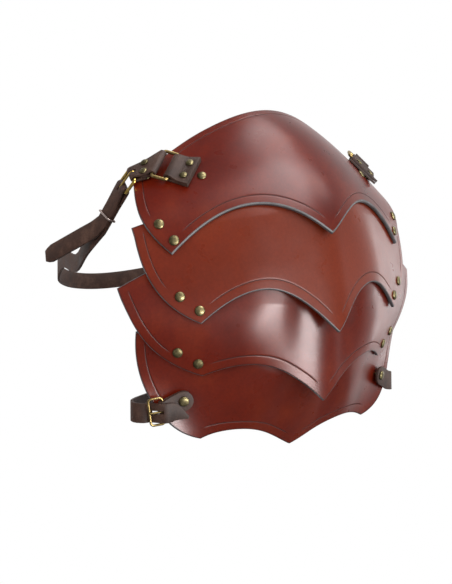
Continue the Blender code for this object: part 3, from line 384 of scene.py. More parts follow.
def oxblood_leather():
    """Spirit-dyed, waxed oxblood leather: deep red with lighter, browner clouds, painted light that
    makes the second lame lighter down its middle, a slightly warmer margin outside the tooled line,
    painted shade darkening the tooled groove, and a soft sheen broken by fine grain."""
    material, tree = empty_material("oxblood_dyed_leather")
    at = add(tree, "ShaderNodeTexCoord").outputs["Object"]
    gap = add(tree, "ShaderNodeAttribute", {"attribute_name": "cut_edge_gap"}).outputs["Fac"]
    tooled = add(tree, "ShaderNodeAttribute", {"attribute_name": "tooled"}).outputs["Fac"]
    thin_dye = add(tree, "ShaderNodeAttribute", {"attribute_name": "thin_dye"}).outputs["Fac"]
    clouds = add(tree, "ShaderNodeTexNoise", {
        "Vector": at, "Scale": per_metre(45.5), "Detail": 5.0, "Roughness": 0.55})
    dyed = add(tree, "ShaderNodeValToRGB", {"Fac": clouds, "stops": (
        (0.30, srgb("#67170a")), (0.50, srgb("#781e0c")), (0.70, srgb("#892b10")))})
    # painted light: the plate is mixed towards a lighter brown by its painted light share
    painted_lit = add(tree, "ShaderNodeMix", {
        "data_type": "RGBA", MIX_SHARE: thin_dye, MIX_FROM: dyed, MIX_TO: srgb("#a6421c")})
    flecks = add(tree, "ShaderNodeTexNoise", {"Vector": at, "Scale": per_metre(2.38), "Detail": 3.0})
    fleck_share = add(tree, "ShaderNodeMapRange", {
        "Value": flecks, "From Min": 0.35, "From Max": 0.75, "To Min": 0.87, "To Max": 1.06})
    flecked = add(tree, "ShaderNodeVectorMath", {
        "operation": "SCALE", 0: painted_lit.outputs[MIXED], "Scale": fleck_share})
    margin = add(tree, "ShaderNodeMapRange", {
        "interpolation_type": "SMOOTHSTEP", "Value": gap,
        "From Min": 0.0070, "From Max": 0.0090, "To Min": 0.12, "To Max": 0.0})
    warm = add(tree, "ShaderNodeMix", {
        "data_type": "RGBA", MIX_SHARE: margin, MIX_FROM: flecked, MIX_TO: srgb("#8b3213")})
    # painted shade: the tooled groove is darkened nearly to black-red, for the shade in it
    groove_shade = add(tree, "ShaderNodeMath", {"operation": "MULTIPLY", 0: tooled, 1: 0.85})
    lined = add(tree, "ShaderNodeMix", {
        "data_type": "RGBA", MIX_SHARE: groove_shade, MIX_FROM: warm.outputs[MIXED], MIX_TO: srgb("#220a06")})
    rim = add(tree, "ShaderNodeMapRange", {
        "Value": gap, "From Min": 0.0006, "From Max": 0.0022, "To Min": 0.55, "To Max": 0.0})
    edged = add(tree, "ShaderNodeMix", {
        "data_type": "RGBA", MIX_SHARE: rim, MIX_FROM: lined.outputs[MIXED], MIX_TO: srgb("#3a1712")})
    wax = add(tree, "ShaderNodeTexNoise", {"Vector": at, "Scale": per_metre(16.7), "Detail": 4.0})
    rough = add(tree, "ShaderNodeMapRange", {
        "Value": wax, "From Min": 0.3, "From Max": 0.7, "To Min": 0.27, "To Max": 0.31})
    dulled = add(tree, "ShaderNodeMix", {"data_type": "FLOAT", 0: tooled, 2: rough, 3: 0.9})
    # pores about 0.9 mm apart, drawn a little coarser than real so that they show
    pores = add(tree, "ShaderNodeTexVoronoi", {
        "feature": "DISTANCE_TO_EDGE", "Vector": at, "Scale": per_metre(0.909)})
    creases = add(tree, "ShaderNodeTexNoise", {
        "Vector": at, "Scale": per_metre(1.429), "Detail": 4.0, "Roughness": 0.6})
    height = add(tree, "ShaderNodeMath", {"operation": "ADD", 0: pores, 1: creases})
    bumps = add(tree, "ShaderNodeBump", {"Height": height, "Strength": 0.10, "Distance": 0.00012})
    shader = add(tree, "ShaderNodeBsdfPrincipled", {
        "Base Color": edged.outputs[MIXED], "Roughness": dulled, "Specular IOR Level": 0.20,
        "Normal": bumps})
    add(tree, "ShaderNodeOutputMaterial", {"Surface": shader})
    return material


def painted_edge():
    """The cut edge, sanded and painted grey: dull, with the pressed fibres showing through."""
    material, tree = empty_material("painted_cut_edge")
    at = add(tree, "ShaderNodeTexCoord").outputs["Object"]
    # fibres about 1.1 mm apart, coarser than real so that they show
    fibres = add(tree, "ShaderNodeTexNoise", {"Vector": at, "Scale": per_metre(1.111), "Detail": 4.0})
    worn = add(tree, "ShaderNodeTexNoise", {"Vector": at, "Scale": per_metre(14.3), "Detail": 3.0})
    shade = add(tree, "ShaderNodeMath", {"operation": "MULTIPLY", 0: fibres, 1: worn})
    paint = add(tree, "ShaderNodeValToRGB", {"Fac": shade, "stops": (
        (0.12, srgb("#433d3d")), (0.28, srgb("#605c5e")), (0.45, srgb("#787678")))})
    bumps = add(tree, "ShaderNodeBump", {"Height": fibres, "Strength": 0.25, "Distance": 0.0002})
    shader = add(tree, "ShaderNodeBsdfPrincipled", {
        "Base Color": paint, "Roughness": 0.55, "Normal": bumps})
    add(tree, "ShaderNodeOutputMaterial", {"Surface": shader})
    return material


def flesh_side():
    """The inner, flesh side of the plates: the same dye soaked into rough, napped suede."""
    material, tree = empty_material("napped_flesh_side")
    at = add(tree, "ShaderNodeTexCoord").outputs["Object"]
    # nap about 1.9 mm apart, coarser than real so that it shows
    nap = add(tree, "ShaderNodeTexNoise", {
        "Vector": at, "Scale": per_metre(1.923), "Detail": 6.0, "Roughness": 0.7})
    clouds = add(tree, "ShaderNodeTexNoise", {"Vector": at, "Scale": per_metre(33.3), "Detail": 3.0})
    both = add(tree, "ShaderNodeMath", {"operation": "ADD", 0: nap, 1: clouds})
    shade = add(tree, "ShaderNodeMath", {"operation": "MULTIPLY", 0: both, 1: 0.5})
    dyed = add(tree, "ShaderNodeValToRGB", {"Fac": shade, "stops": (
        (0.35, srgb("#4a2119")), (0.50, srgb("#633026")), (0.65, srgb("#7a4335")))})
    bumps = add(tree, "ShaderNodeBump", {"Height": nap, "Strength": 0.5, "Distance": 0.0004})
    shader = add(tree, "ShaderNodeBsdfPrincipled", {
        "Base Color": dyed, "Roughness": 0.92, "Sheen Weight": 0.25, "Normal": bumps})
    add(tree, "ShaderNodeOutputMaterial", {"Surface": shader})
    return material


def new_piece(name, mesh, materials, body, nodes):
    """A finished piece on its body, in place of its CAD nodes."""
    for material in materials:
        mesh.materials.append(material)
    piece = bpy.data.objects.new(name, mesh)
    bpy.context.scene.collection.objects.link(piece)
    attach(piece, body)
    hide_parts(*nodes)


leathers = []


def leather_piece(node, mesh, materials):
    """A plate or strip of leather, also kept as a surface that rivets can seat on."""
    places = [vert.co for vert in mesh.vertices]
    leathers.append(BVHTree.FromPolygons(places, [face.vertices for face in mesh.polygons]))
    new_piece(node + "_leather", mesh, materials, "pauldron", [node])


PLATE_FINISHES = (oxblood_leather(), painted_edge(), flesh_side())
for k, node in PLATES.items():
    leather_piece(node, plate_mesh(k, node + "_leather"), PLATE_FINISHES)

# Straps, tabs and patches
# Waxed brown strap leather about 2 mm thick and 15 to 34 mm wide, with rounded, paler cut edges.
# Tabs fold round the rings and are riveted flat. The straps are threaded through the buckles.
STRIPS = ("front_plate_tab", "rear_plate_tab", "front_backing_patch", "rear_backing_patch",
          "front_buckle_tab", "chest_strap", "arm_buckle_tab", "arm_strap")
STRIP_EDGE_ROUND = 0.0005
BEVEL_ANGLE = radians(48)
SHARP_ANGLE = radians(42)
# A face is a cut one where the leather behind it is thicker than any strip
STRIP_THICKEST = 0.0030
# Places of a strip's finishes
WAXED, RUBBED = 0, 1
RAY_START = 0.00002
RAY_REACH = 0.05
MERGE_DISTANCE = 0.000004


def merged(node):
    """A merged copy of a CAD node's mesh, as a bmesh."""
    shape = bmesh.new()
    shape.from_mesh(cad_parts[node].data)
    bmesh.ops.remove_doubles(shape, verts=shape.verts, dist=MERGE_DISTANCE)
    return shape


def worked_in(raw, name):
    """A plain mesh from an object with its modifiers worked in. The object goes."""
    bpy.context.view_layer.update()
    made = bpy.data.meshes.new_from_object(raw.evaluated_get(bpy.context.evaluated_depsgraph_get()))
    bpy.data.objects.remove(raw)
    made.name = name
    made.materials.clear()
    return made


def raw_object(mesh, materials=()):
    """An object in the scene for modifiers to work on."""
    for material in materials:
        mesh.materials.append(material)
    raw = bpy.data.objects.new("raw", mesh)
    bpy.context.scene.collection.objects.link(raw)
    return raw


def raw_shape(shape, materials=()):
    """The same from a bmesh."""
    mesh = bpy.data.meshes.new("raw")
    shape.to_mesh(mesh)
    shape.free()
    return raw_object(mesh, materials)


def strip_mesh(node):
    """A strip of leather on its CAD solid's own path, with rounded edges and marked cut faces."""
    shape = merged(node)
    tree = BVHTree.FromBMesh(shape)
    bmesh.ops.join_triangles(shape, faces=shape.faces, angle_face_threshold=radians(25),
                             angle_shape_threshold=radians(50))
    for face in shape.faces:
        start = face.calc_center_median() - RAY_START * face.normal
        thickness = tree.ray_cast(start, -face.normal, RAY_REACH)[3]
        face.material_index = RUBBED if thickness is None or thickness > STRIP_THICKEST else WAXED
        face.smooth = True
    raw = raw_shape(shape, STRAP_FINISHES)
    bevel = raw.modifiers.new("rounded", "BEVEL")
    bevel.width = STRIP_EDGE_ROUND
    bevel.segments = 2
    bevel.limit_method = "ANGLE"
    bevel.angle_limit = BEVEL_ANGLE
    bevel.use_clamp_overlap = True
    bevel.material = RUBBED
    made = worked_in(raw, node + "_leather")
    made.set_sharp_from_angle(angle=SHARP_ANGLE)
    return made


def strap_leather():
    """Waxed strap leather: dull warm brown with paler, rubbed high spots and tight grain."""
    material, tree = empty_material("waxed_strap_leather")
    at = add(tree, "ShaderNodeTexCoord").outputs["Object"]
    clouds = add(tree, "ShaderNodeTexNoise", {
        "Vector": at, "Scale": per_metre(14.3), "Detail": 5.0, "Roughness": 0.6})
    dyed = add(tree, "ShaderNodeValToRGB", {"Fac": clouds, "stops": (
        (0.32, srgb("#3f2a22")), (0.52, srgb("#52392f")), (0.70, srgb("#694d41")))})
    # grain and pores about 1 mm apart, drawn coarser than real so that they show
    grain = add(tree, "ShaderNodeTexNoise", {
        "Vector": at, "Scale": per_metre(1.25), "Detail": 4.0, "Roughness": 0.6})
    grain_share = add(tree, "ShaderNodeMapRange", {
        "Value": grain, "From Min": 0.35, "From Max": 0.7, "To Min": 0.78, "To Max": 1.12})
    grained = add(tree, "ShaderNodeVectorMath", {"operation": "SCALE", 0: dyed, "Scale": grain_share})
    rough = add(tree, "ShaderNodeMapRange", {
        "Value": clouds, "From Min": 0.3, "From Max": 0.7, "To Min": 0.56, "To Max": 0.72})
    pores = add(tree, "ShaderNodeTexVoronoi", {
        "feature": "DISTANCE_TO_EDGE", "Vector": at, "Scale": per_metre(0.769)})
    height = add(tree, "ShaderNodeMath", {"operation": "ADD", 0: pores, 1: grain})
    bumps = add(tree, "ShaderNodeBump", {"Height": height, "Strength": 0.25, "Distance": 0.0002})
    shader = add(tree, "ShaderNodeBsdfPrincipled", {
        "Base Color": grained, "Roughness": rough, "Specular IOR Level": 0.22, "Normal": bumps})
    add(tree, "ShaderNodeOutputMaterial", {"Surface": shader})
    return material


def raw_strap_edge():
    """The strap's cut edge: paler, pinkish, fibrous leather with the dye worn back."""
    material, tree = empty_material("rubbed_strap_edge")
    at = add(tree, "ShaderNodeTexCoord").outputs["Object"]
    # fibres 1 mm apart, coarser than real so that they show
    fibres = add(tree, "ShaderNodeTexNoise", {"Vector": at, "Scale": per_metre(1.0), "Detail": 5.0})
    worn = add(tree, "ShaderNodeValToRGB", {"Fac": fibres, "stops": (
        (0.35, srgb("#6c5450")), (0.55, srgb("#8f746e")), (0.70, srgb("#a98f88")))})
    bumps = add(tree, "ShaderNodeBump", {"Height": fibres, "Strength": 0.4, "Distance": 0.0003})
    shader = add(tree, "ShaderNodeBsdfPrincipled", {
        "Base Color": worn, "Roughness": 0.8, "Normal": bumps})
    add(tree, "ShaderNodeOutputMaterial", {"Surface": shader})
    return material


STRAP_FINISHES = (strap_leather(), raw_strap_edge())
for node in STRIPS:
    leather_piece(node, strip_mesh(node), STRAP_FINISHES)

# Rings, buckles and keeper
# Bent and brazed wire: the rings and the arm buckle in dull aged brass, the chest buckle in lighter,
# glossier brass, the keeper in dull plated wire. Each loop is closed and held by the leather in it.
LOOP_SIDES = 16
CORNER_STEPS = 9
RING_WIRE = 0.0015
ARM_WIRE = 0.0011
KEEPER_RADIUS = 0.0009
FRAME_CORNER = 0.0028
KEEPER_CORNER = 0.0018
# Smoothing draws the prong's wire in, so it starts out this much fatter
PRONG_SWELL = 0.00006


def aged_brass(name, shades, roughness, patina):
    """Bent or pressed brass with a dark, brownish patina and rubbed, brighter spots."""
    material, tree = empty_material(name)
    at = add(tree, "ShaderNodeTexCoord").outputs["Object"]
    worn = add(tree, "ShaderNodeAttribute", {"attribute_name": "worn"}).outputs["Fac"]
    spots = add(tree, "ShaderNodeTexNoise", {
        "Vector": at, "Scale": per_metre(3.85), "Detail": 5.0, "Roughness": 0.65})
    spread = add(tree, "ShaderNodeMath", {
        "operation": "MULTIPLY_ADD", 0: spots, 1: patina, 2: 0.5 - patina / 2})
    place = add(tree, "ShaderNodeMath", {"operation": "ADD", "use_clamp": True, 0: spread, 1: worn})
    stops = [(share, srgb(shade)) for share, shade in zip((0.25, 0.50, 0.75), shades)]
    colour = add(tree, "ShaderNodeValToRGB", {"Fac": place, "stops": stops})
    rough = add(tree, "ShaderNodeMapRange", {
        "Value": place, "From Min": 0.3, "From Max": 0.7,
        "To Min": roughness + 0.12, "To Max": roughness - 0.06})
    bumps = add(tree, "ShaderNodeBump", {"Height": spots, "Strength": 0.15, "Distance": 0.0002})
    shader = add(tree, "ShaderNodeBsdfPrincipled", {
        "Base Color": colour, "Metallic": 1.0, "Roughness": rough, "Normal": bumps})
    add(tree, "ShaderNodeOutputMaterial", {"Surface": shader})
    return material


def loop_piece(node, body, radius, corner, material):
    """A round-wire rounded rectangle on a CAD ring or frame node's own middle, axes and size."""
    shape = merged(node)
    points = np.array([v.co[:] for v in shape.verts])
    shape.free()
    rough_middle = points.mean(axis=0)
    axes = np.linalg.svd(points - rough_middle, full_matrices=False)[2]
    spread = (points - rough_middle) @ axes.T
    middle = rough_middle + ((spread.max(axis=0) + spread.min(axis=0)) / 2) @ axes
    half = (spread.max(axis=0) - spread.min(axis=0)) / 2 - radius
    long_axis, short_axis, flat_axis = axes
    corner = min(corner, half[0], half[1])
    centres = []
    for long_side, short_side, quarter in ((1, 1, 0), (-1, 1, 1), (-1, -1, 2), (1, -1, 3)):
        for i in range(CORNER_STEPS + 1):
            turn = (quarter + i / CORNER_STEPS) * pi / 2
            along = long_side * (half[0] - corner) + corner * cos(turn)
            across = short_side * (half[1] - corner) + corner * sin(turn)
            centres.append(middle + along * long_axis + across * short_axis)
    centres = np.array(centres)
    runs = np.roll(centres, -1, axis=0) - np.roll(centres, 1, axis=0)
    verts = []
    for place, run in zip(centres, runs):
        side = np.cross(run / np.linalg.norm(run), flat_axis)
        for j in range(LOOP_SIDES):
            turn = 2 * pi * j / LOOP_SIDES
            verts.append(tuple(place + radius * (cos(turn) * flat_axis + sin(turn) * side)))
    faces = []
    for i in range(len(centres)):
        here, ahead = i * LOOP_SIDES, (i + 1) % len(centres) * LOOP_SIDES
        for j in range(LOOP_SIDES):
            k = (j + 1) % LOOP_SIDES
            faces.append((here + j, here + k, ahead + k, ahead + j))
    mesh = bpy.data.meshes.new(node + "_wire")
    mesh.from_pydata(verts, [], faces)
    turn_outwards(mesh)
    mesh.shade_smooth()
    new_piece(node + "_wire", mesh, [material], body, [node])


def prong_piece(node, body, material):
    """The wire prong, smoothed along its own bent shape."""
    shape = merged(node)
    bmesh.ops.join_triangles(shape, faces=shape.faces, angle_face_threshold=radians(20),
                             angle_shape_threshold=radians(60))
    for vert in shape.verts:
        vert.co += vert.normal * PRONG_SWELL
    raw = raw_shape(shape)
    smooth = raw.modifiers.new("smooth", "SUBSURF")
    smooth.levels = 2
    smooth.render_levels = 2
    made = worked_in(raw, node + "_wire")
    made.shade_smooth()
    new_piece(node + "_wire", made, [material], body, [node])


RING_BRASS = aged_brass("aged_ring_brass", ("#463a26", "#806d44", "#b8a272"), 0.36, 0.9)
BRIGHT_BRASS = aged_brass("bright_buckle_brass", ("#7a6330", "#b79a50", "#e3cc82"), 0.22, 0.8)
KEEPER_WIRE = aged_brass("dull_keeper_wire", ("#6a5c58", "#9c8b86", "#c9bab4"), 0.36, 0.8)
loop_piece("front_ring", "pauldron", RING_WIRE, FRAME_CORNER, RING_BRASS)
loop_piece("rear_ring", "pauldron", RING_WIRE, FRAME_CORNER, RING_BRASS)
loop_piece("front_buckle_frame", "pauldron", RING_WIRE, FRAME_CORNER, BRIGHT_BRASS)
loop_piece("arm_buckle_frame", "pauldron", ARM_WIRE, FRAME_CORNER, RING_BRASS)
loop_piece("chest_strap_keeper", "keeper", KEEPER_RADIUS, KEEPER_CORNER, KEEPER_WIRE)
prong_piece("front_buckle_prong", "chest_prong", BRIGHT_BRASS)
prong_piece("arm_buckle_prong", "arm_prong", RING_BRASS)

# Rivets
# Tubular brass rivets with pressed, domed caps, aged to a dark antique finish that is rubbed
# lighter on the crown. The shank goes through the leather to a low flat cap inside.
RIVETS = {
    "plate_rivets": [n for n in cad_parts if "lame_rivet" in n],
    "single_rivets": ["front_single_rivet", "rear_single_rivet"],
    "tab_rivets": [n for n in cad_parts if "tab_rivet" in n or "strap_rivet" in n],
    "arm_rivets": ["arm_front_rivet", "arm_rear_rivet"],
}
RIVET_SIZES = {
    "Cap radius": 0.0045, "Cap rise": 0.0022, "Rim height": 0.0005,
    "Shank radius": 0.0015, "Back radius": 0.0040, "Back rise": 0.0010,
}
# Rise and rim of a domed cap as shares of its radius, and rim of the inner cap as one of its rise
CAP_RISE_SHARE = 0.52
CAP_RIM_SHARE = 0.13
BACK_RIM_SHARE = 0.5
CAP_SIDES = 36
CAP_ROWS = 31
BACK_SIDES = 28
BACK_ROWS = 21
SHANK_SIDES = 20
SEAM_WIDTH = 0.000002
# A cap's profile is flat up to the first share of its rows, upright up to the second, then domed
FLAT_END_SHARE = 0.2
RIM_END_SHARE = 0.3
# How the finish is rubbed away on the crown
WEAR = 0.55
WEAR_START_SHARE = 0.45
RIVET_SEED = 7
# Where a rivet's seat is looked for: along its axis, near the place that the solid gives
SEAT_RAY_START = 0.020
SEAT_RAY_REACH = 0.034
SEAT_SEARCH = 0.002
SEAT_LIFT = 0.00003
CAD_RISE_SHARE = 0.5
END_BAND = 0.0004
CAP_BAND = 0.003


def rivet_tree():
    """Geometry Nodes tree: a turned rivet on each point, along the point's axis."""
    tree = bpy.data.node_groups.new("domed_rivets", "GeometryNodeTree")
    tree.interface.new_socket("Points", in_out="INPUT", socket_type="NodeSocketGeometry")
    for label, size in RIVET_SIZES.items():
        socket = tree.interface.new_socket(label, in_out="INPUT", socket_type="NodeSocketFloat")
        socket.default_value = size
    tree.interface.new_socket("Finish", in_out="INPUT", socket_type="NodeSocketMaterial")
    tree.interface.new_socket("Rivets", in_out="OUTPUT", socket_type="NodeSocketGeometry")
    given = tree.nodes.new("NodeGroupInput").outputs

    def cap(radius, rise, rim, sides, rows):
        """A closed turned cap: flat underside, upright rim, domed top."""
        grid = add(tree, "GeometryNodeMeshGrid", {
            "Size X": 1.0, "Size Y": 1.0, "Vertices X": sides + 1, "Vertices Y": rows})
        at = add(tree, "ShaderNodeSeparateXYZ", {0: add(tree, "GeometryNodeInputPosition")})
        turn = add(tree, "ShaderNodeMath", {"operation": "MULTIPLY", 0: at.outputs["X"], 1: 2 * pi})
        share = add(tree, "ShaderNodeMath", {"operation": "ADD", 0: at.outputs["Y"], 1: 0.5})
        flat = add(tree, "ShaderNodeMapRange", {"Value": share, "From Max": FLAT_END_SHARE})
        upright = add(tree, "ShaderNodeMapRange", {
            "Value": share, "From Min": FLAT_END_SHARE, "From Max": RIM_END_SHARE})
        dome = add(tree, "ShaderNodeMapRange", {
            "Value": share, "From Min": RIM_END_SHARE, "To Max": pi / 2})
        sine = add(tree, "ShaderNodeMath", {"operation": "SINE", 0: dome})
        cosine = add(tree, "ShaderNodeMath", {"operation": "COSINE", 0: dome})
        full = add(tree, "ShaderNodeMath", {"operation": "MULTIPLY", 0: radius, 1: flat})
        out = add(tree, "ShaderNodeMath", {"operation": "MULTIPLY", 0: full, 1: cosine})
        edge = add(tree, "ShaderNodeMath", {"operation": "MULTIPLY", 0: rim, 1: upright})
        above = add(tree, "ShaderNodeMath", {"operation": "SUBTRACT", 0: rise, 1: rim})
        up = add(tree, "ShaderNodeMath", {"operation": "MULTIPLY_ADD", 0: above, 1: sine, 2: edge})
        turn_x = add(tree, "ShaderNodeMath", {"operation": "COSINE", 0: turn})
        turn_y = add(tree, "ShaderNodeMath", {"operation": "SINE", 0: turn})
        x = add(tree, "ShaderNodeMath", {"operation": "MULTIPLY", 0: out, 1: turn_x})
        y = add(tree, "ShaderNodeMath", {"operation": "MULTIPLY", 0: out, 1: turn_y})
        place = add(tree, "ShaderNodeCombineXYZ", {"X": x, "Y": y, "Z": up})
        moved = add(tree, "GeometryNodeSetPosition", {"Geometry": grid, "Position": place})
        worn = add(tree, "ShaderNodeMath", {
            "operation": "MULTIPLY_ADD", 0: sine, 1: WEAR, 2: -WEAR * WEAR_START_SHARE})
        noted = add(tree, "GeometryNodeStoreNamedAttribute", {
            "data_type": "FLOAT", "domain": "POINT", "Name": "worn", "Geometry": moved, "Value": worn})
        return add(tree, "GeometryNodeMergeByDistance", {"Geometry": noted, "Distance": SEAM_WIDTH})

    back_rim = add(tree, "ShaderNodeMath", {
        "operation": "MULTIPLY", 0: given["Back rise"], 1: BACK_RIM_SHARE})
    head = cap(given["Cap radius"], given["Cap rise"], given["Rim height"], CAP_SIDES, CAP_ROWS)
    back = cap(given["Back radius"], given["Back rise"], back_rim, BACK_SIDES, BACK_ROWS)
    grip = add(tree, "GeometryNodeInputNamedAttribute", {"data_type": "FLOAT", "Name": "grip"})
    axis = add(tree, "GeometryNodeInputNamedAttribute", {"data_type": "FLOAT_VECTOR", "Name": "axis"})
    upright = add(tree, "FunctionNodeAlignRotationToVector", {"axis": "Z", "Vector": axis})
    # each domed cap is turned by chance about its axis
    chance = add(tree, "FunctionNodeRandomValue", {
        "data_type": "FLOAT", 2: 0.0, 3: 2 * pi, "Seed": RIVET_SEED}).outputs[1]
    spin = add(tree, "FunctionNodeAxisAngleToRotation", {"Axis": (0, 0, 1), "Angle": chance})
    turned = add(tree, "FunctionNodeRotateRotation", {
        "rotation_space": "LOCAL", "Rotation": upright, "Rotate By": spin})
    heads = add(tree, "GeometryNodeInstanceOnPoints", {
        "Points": given["Points"], "Instance": head, "Rotation": turned})
    # the inner cap lies one grip down the axis, upside down
    depth = add(tree, "ShaderNodeMath", {"operation": "MULTIPLY", 0: grip, 1: -1.0})
    down = add(tree, "ShaderNodeVectorMath", {"operation": "SCALE", 0: axis, "Scale": depth})
    lowered = add(tree, "GeometryNodeSetPosition", {"Geometry": given["Points"], "Offset": down})
    over = add(tree, "FunctionNodeAxisAngleToRotation", {"Axis": (1, 0, 0), "Angle": pi})
    flipped = add(tree, "FunctionNodeRotateRotation", {
        "rotation_space": "LOCAL", "Rotation": upright, "Rotate By": over})
    backs = add(tree, "GeometryNodeInstanceOnPoints", {
        "Points": lowered, "Instance": back, "Rotation": flipped})
    # the shank is a rod one unit long that the grip stretches
    rod = add(tree, "GeometryNodeMeshCylinder", {
        "Vertices": SHANK_SIDES, "Depth": 1.0, "Radius": given["Shank radius"]})
    hung = add(tree, "GeometryNodeTransform", {"Geometry": rod, "Translation": (0, 0, -0.5)})
    stretch = add(tree, "ShaderNodeCombineXYZ", {"X": 1.0, "Y": 1.0, "Z": grip})
    rods = add(tree, "GeometryNodeInstanceOnPoints", {
        "Points": given["Points"], "Instance": hung, "Rotation": upright, "Scale": stretch})
    joined = add(tree, "GeometryNodeJoinGeometry")
    for part in (rods, backs, heads):
        tree.links.new(part.outputs[0], joined.inputs[0])
    real = add(tree, "GeometryNodeRealizeInstances", {"Geometry": joined})
    smooth = add(tree, "GeometryNodeSetShadeSmooth", {"Geometry": real})
    coated = add(tree, "GeometryNodeSetMaterial", {"Geometry": smooth, "Material": given["Finish"]})
    add(tree, "NodeGroupOutput", {0: coated})
    return tree


def nearest(heights, wanted):
    """The height nearest to the wanted one, or the wanted one where none is close."""
    best = min(heights, key=lambda height: abs(height - wanted), default=wanted)
    return best if abs(best - wanted) < SEAT_SEARCH else wanted


def rivet_place(node):
    """Seat, axis, grip and cap radius of a rivet from its CAD node and the leather round it."""
    shape = merged(node)
    points = np.array([v.co[:] for v in shape.verts])
    shape.free()
    middle = points.mean(axis=0)
    squares, axes = np.linalg.eigh(np.cov((points - middle).T))
    lone = int(np.argmax(np.abs(squares - np.median(squares))))
    axis = axes[:, lone]
    heights = (points - middle) @ axis
    radii = np.linalg.norm(points - middle - heights[:, None] * axis, axis=1)
    # the domed end comes to one point, the flat one doesn't rise past its ring
    upper_radius = radii[heights > heights.max() - END_BAND].max()
    lower_radius = radii[heights < heights.min() + END_BAND].max()
    if upper_radius >= lower_radius:
        axis, heights = -axis, -heights
    cap_radius = radii[heights > heights.max() - CAP_BAND].max()
    outer, inner = [], []
    for tree in leathers:
        for side, found in ((1, outer), (-1, inner)):
            start = Vector(middle + side * SEAT_RAY_START * axis)
            hit = tree.ray_cast(start, Vector(-side * axis), SEAT_RAY_REACH)[0]
            if hit is not None:
                found.append(float((np.array(hit) - middle) @ axis))
    top = nearest(outer, heights.max() - CAD_RISE_SHARE * cap_radius)
    low = nearest(inner, heights.min() + RIVET_SIZES["Back rise"])
    return middle + (top + SEAT_LIFT) * axis, axis, top - low + 2 * SEAT_LIFT, cap_radius


def rivets_mesh(name, nodes):
    """All rivets of one kind, each where its CAD node is."""
    places, axes, grips, radii = zip(*(rivet_place(node) for node in sorted(nodes)))
    mesh = bpy.data.meshes.new(name + "_places")
    mesh.from_pydata([tuple(place) for place in places], [], [])
    mesh.attributes.new("axis", "FLOAT_VECTOR", "POINT").data.foreach_set(
        "vector", np.array(axes, np.float32).reshape(-1))
    mesh.attributes.new("grip", "FLOAT", "POINT").data.foreach_set("value", np.array(grips, np.float32))
    raw = raw_object(mesh)
    maker = raw.modifiers.new("rivets", "NODES")
    maker.node_group = TREE
    radius = float(np.mean(radii))
    inputs = dict(RIVET_SIZES)
    inputs["Cap radius"] = radius
    inputs["Cap rise"] = CAP_RISE_SHARE * radius
    inputs["Rim height"] = CAP_RIM_SHARE * radius
    inputs["Back radius"] = min(RIVET_SIZES["Back radius"], radius)
    inputs["Finish"] = RIVET_BRASS
    for socket in TREE.interface.items_tree:
        if socket.in_out == "INPUT" and socket.name in inputs:
            maker[socket.identifier] = inputs[socket.name]
    return worked_in(raw, name)


RIVET_BRASS = aged_brass("antique_rivet_brass", ("#2b271a", "#5a523a", "#8f8460"), 0.42, 1.0)
TREE = rivet_tree()
for name, nodes in RIVETS.items():
    new_piece(name, rivets_mesh(name, nodes), [RIVET_BRASS], "pauldron", nodes)

# Camera
# The photograph's own viewpoint: 1.4 m off, in front and to the outside of the left shoulder, just
# below its top, with an 89 mm lens. The picture shows 1.03 pixels to the millimetre at the piece.
PICTURE_HEIGHT = 584
FOCAL_PIXELS = 1438
PIXELS_PER_METRE = 1030
SENSOR = 36.0
back = Vector((0.7846, -0.6130, 0.0932)).normalized()
right = Vector((0, 0, 1)).cross(back).normalized()
up = back.cross(right)
target = Vector((-0.100, 0.0, -0.148))
camera_data = bpy.data.cameras.new("camera")
camera_data.sensor_width = SENSOR
camera_data.lens = FOCAL_PIXELS * SENSOR / PICTURE_HEIGHT
camera_data.clip_start = 0.05
camera_data.clip_end = 100.0
camera = bpy.data.objects.new("camera", camera_data)
turned = Matrix((right, up, back)).transposed().to_4x4()
camera.matrix_world = Matrix.Translation(target + back * (FOCAL_PIXELS / PIXELS_PER_METRE)) @ turned
bpy.context.scene.collection.objects.link(camera)
bpy.context.scene.camera = camera

# Floor and wall
# A plain pale studio floor under the piece, and a curved white wall all round the far side of it.
# The wall shows as white to the camera and in gloss, and gives the piece no light of its own.
FLOOR_HEIGHT = -1.45
FLOOR_REACH = 30
WALL_TOP = 4.0
WALL_DISTANCE = 2.45
WALL_TURN = 80
WALL_STEP = 5


def seen_directly(tree):
    """1 for a ray from the camera, off gloss or through glass, and 0 for light on the piece."""
    path = add(tree, "ShaderNodeLightPath").outputs
    sharp = add(tree, "ShaderNodeMath", {
        "operation": "MAXIMUM", 0: path["Is Glossy Ray"], 1: path["Is Transmission Ray"]})
    return add(tree, "ShaderNodeMath", {"operation": "MAXIMUM", 0: path["Is Camera Ray"], 1: sharp})


def paper(name, colour, white=False):
    """Plain matt paper. White paper also shows as white wherever it is seen directly."""
    material, tree = empty_material(name)
    shader = add(tree, "ShaderNodeBsdfDiffuse", {"Color": srgb(colour)})
    if white:
        glow = add(tree, "ShaderNodeEmission", {"Color": srgb("#ffffff"), "Strength": 1.0})
        shader = add(tree, "ShaderNodeMixShader", {0: seen_directly(tree), 1: shader, 2: glow})
    add(tree, "ShaderNodeOutputMaterial", {"Surface": shader})
    return material


def stage_piece(name, points, faces, material):
    """A piece of the studio."""
    mesh = bpy.data.meshes.new(name)
    mesh.from_pydata([tuple(point) for point in points], [], faces)
    mesh.shade_smooth()
    mesh.materials.append(material)
    piece = bpy.data.objects.new(name, mesh)
    bpy.context.scene.collection.objects.link(piece)
    return piece


